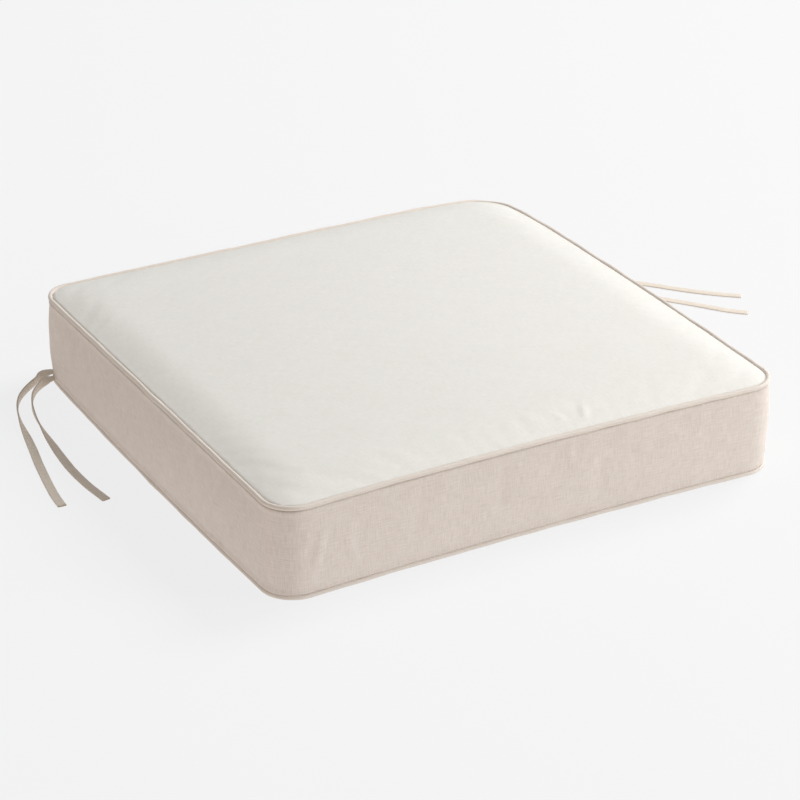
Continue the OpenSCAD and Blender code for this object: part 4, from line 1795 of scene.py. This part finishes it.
@dataclass
class Stitching:
    """Stitches laid on the cloth: the rows that hold the zip and the tacks over the ties."""

    plan: Plan
    thread: bpy.types.Material
    length: float = 3.2 * MM
    pitch: float = 4 * MM
    thick: float = 0.5 * MM
    tack_length: float = 4.2 * MM
    tack_rows: int = 3
    tie_angles: tuple[float, float] = (148, 174)
    outside: float = 20 * MM

    def stitch(self, bm: bmesh.types.BMesh, spot: Vector, along: Vector, out: Vector, length: float) -> None:
        """Adds one stitch: a short rounded length of thread that dips in at both ends.

        Args:
            bm: mesh that collects the stitches.
            spot: its middle, on the cloth.
            along: its direction.
            out: direction out of the cloth.
            length: its length.
        """
        side = out.cross(along).normalized()
        turn = Matrix((along.normalized(), side, out.normalized())).transposed().to_4x4()
        scale = Matrix.Diagonal((length, self.thick, self.thick * 0.8, 1))
        bmesh.ops.create_uvsphere(
            bm,
            u_segments=6,
            v_segments=5,
            radius=0.5,
            matrix=Matrix.Translation(spot + out * self.thick * 0.12) @ turn @ scale @ LYING,
            calc_uvs=True,
        )

    def row(self, word: str, face: BVHTree) -> None:
        """Sews the row that holds one side of the zip."""
        node = f"zip_topstitch_{word}"
        low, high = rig.box(node)
        count = round((high.x - low.x - self.length) / self.pitch) + 1
        bm = bmesh.new()
        bm.loops.layers.uv.new(WEAVE)
        for k in range(count):
            x = low.x + self.length / 2 + k * self.pitch
            start = Vector((x, self.plan.half_d + self.outside, (low.z + high.z) / 2))
            spot, normal, _, _ = face.ray_cast(start, Vector((0, -1, 0)))
            self.stitch(bm, spot, Vector((1, 0, 0)), normal, self.length)
        finish_piece(bm, f"{node}_thread", [self.thread], "thread", [node])

    def tacks(self, word: str, face: BVHTree) -> None:
        """Sews the bars over the roots of the ties at one corner."""
        node = f"tie_tacks_{word}"
        low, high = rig.box(node)
        flip = -1 if word == "left" else 1
        bm = bmesh.new()
        bm.loops.layers.uv.new(WEAVE)
        for degrees in self.tie_angles:
            angle = math.radians(degrees)
            out = Vector((-flip * math.cos(angle), math.sin(angle), 0))
            centre = Vector((flip * self.plan.straight_w, self.plan.straight_d, 0))
            for k in range(self.tack_rows):
                z = low.z + self.thick / 2 + k * (high.z - low.z - self.thick) / (self.tack_rows - 1)
                start = centre + out * (self.plan.corner_r + self.outside) + Vector((0, 0, z))
                spot, normal, _, _ = face.ray_cast(start, -out)
                along = Vector((-out.y, out.x, 0))
                self.stitch(bm, spot, along, normal, self.tack_length)
        finish_piece(bm, f"{node}_thread", [self.thread], "thread", [node])


# ---------------------------------------------------------------- studio


@dataclass
class Studio:
    """Camera, floor and soft light."""

    azimuth: float = -28.91
    elevation: float = 26.76
    distance: float = 2.5687
    target: tuple[float, float, float] = (-0.0222, -0.0438, 0.0445)
    lens: float = 126.0
    floor_half: float = 14.0
    sky_colour: str = "#f9fafb"
    sky_strength: float = 0.41

    def place_camera(self) -> None:
        """Makes the camera at the viewing angle."""
        a, e = math.radians(self.azimuth), math.radians(self.elevation)
        back = Vector((math.sin(a) * math.cos(e), -math.cos(a) * math.cos(e), math.sin(e)))
        camera = bpy.data.objects.new("camera", bpy.data.cameras.new("camera"))
        camera.data.lens = self.lens
        camera.location = Vector(self.target) + back * self.distance
        camera.rotation_euler = (-back).to_track_quat("-Z", "Y").to_euler()
        bpy.context.scene.collection.objects.link(camera)
        bpy.context.scene.camera = camera

    def lay_floor(self) -> None:
        """Lays the pale floor."""
        bm = bmesh.new()
        bmesh.ops.create_grid(bm, x_segments=1, y_segments=1, size=self.floor_half)
        mesh = bpy.data.meshes.new("floor")
        bm.to_mesh(mesh)
        bm.free()
        mesh.materials.append(PAPER.make())
        floor = bpy.data.objects.new("floor", mesh)
        bpy.context.scene.collection.objects.link(floor)
        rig.stage(floor)

    def lamp(
        self,
        name: str,
        spot: tuple[float, float, float],
        power: float,
        size: float,
        colour: str,
    ) -> None:
        """Adds a square soft box that faces the cushion.

        Args:
            name: its name.
            spot: where it stands, in metres.
            power: its power in watts.
            size: length of its side.
            colour: its colour.
        """
        light = bpy.data.lights.new(name, "AREA")
        light.energy = power
        light.shape = "SQUARE"
        light.size = size
        light.color = linear(colour)[:3]
        lamp = bpy.data.objects.new(name, light)
        lamp.location = spot
        lamp.rotation_euler = Vector(spot).to_track_quat("Z", "Y").to_euler()
        lamp.visible_camera = False
        bpy.context.scene.collection.objects.link(lamp)

    def light(self) -> None:
        """Sets the sky dome and the soft boxes: a key, a front fill and a warm fill at the left."""
        world = bpy.data.worlds.new("studio")
        world.use_nodes = True
        sky = world.node_tree.nodes["Background"]
        sky.inputs["Color"].default_value = linear(self.sky_colour)
        sky.inputs["Strength"].default_value = self.sky_strength
        bpy.context.scene.world = world
        self.lamp("key light", (2.7, 0.6, 2.8), 107, 1.8, "#ffffff")
        self.lamp("front light", (1.4, -1.25, 0.75), 16, 0.9, "#ffffff")
        self.lamp("left fill", (-2.4, -1.0, 0.6), 5, 1.2, "#ffc890")
        bpy.context.scene.view_settings.view_transform = "Standard"


def main() -> None:
    """Builds the cushion in the order that the frame tool asks for: camera, cords, then the rest."""
    logging.basicConfig(level=logging.INFO, format="%(name)s: %(message)s")
    studio = Studio()
    studio.place_camera()
    canvas, tie_cloth = CANVAS.make(), WARM_LIT_TIE_CANVAS.make()
    for tie in TIES:
        tie.build(tie_cloth)
    plan = Plan()
    cover = Cover(plan, creases=CREASES)
    faces = cover.build(canvas, WARM_LIT_CROSS_CANVAS.make())
    bias, cotton = WARM_LIT_BIAS_CANVAS.make(), CORD.make()
    for level in Side:
        Piping(plan, level).build(bias, cotton)
    filling = Filling(cover)
    filling.build_foam(FOAM.make())
    filling.build_wrap(BATTING.make())
    Zip().build(TAPE.make(), ACETAL.make(), NICKEL.make())
    stitching = Stitching(plan, THREAD.make())
    for word in ("upper", "lower"):
        stitching.row(word, faces[word])
    for word in ("left", "right"):
        stitching.tacks(word, faces["band"])
    studio.lay_floor()
    studio.light()
    with open(SIZE_FILE, "w") as file:
        json.dump([[list(c) for c in CAD_BOX], [list(c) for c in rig.bounds()]], file)
    LOG.info("pieces: %d", len(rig.pieces()))


if __name__ == "__main__":
    main()
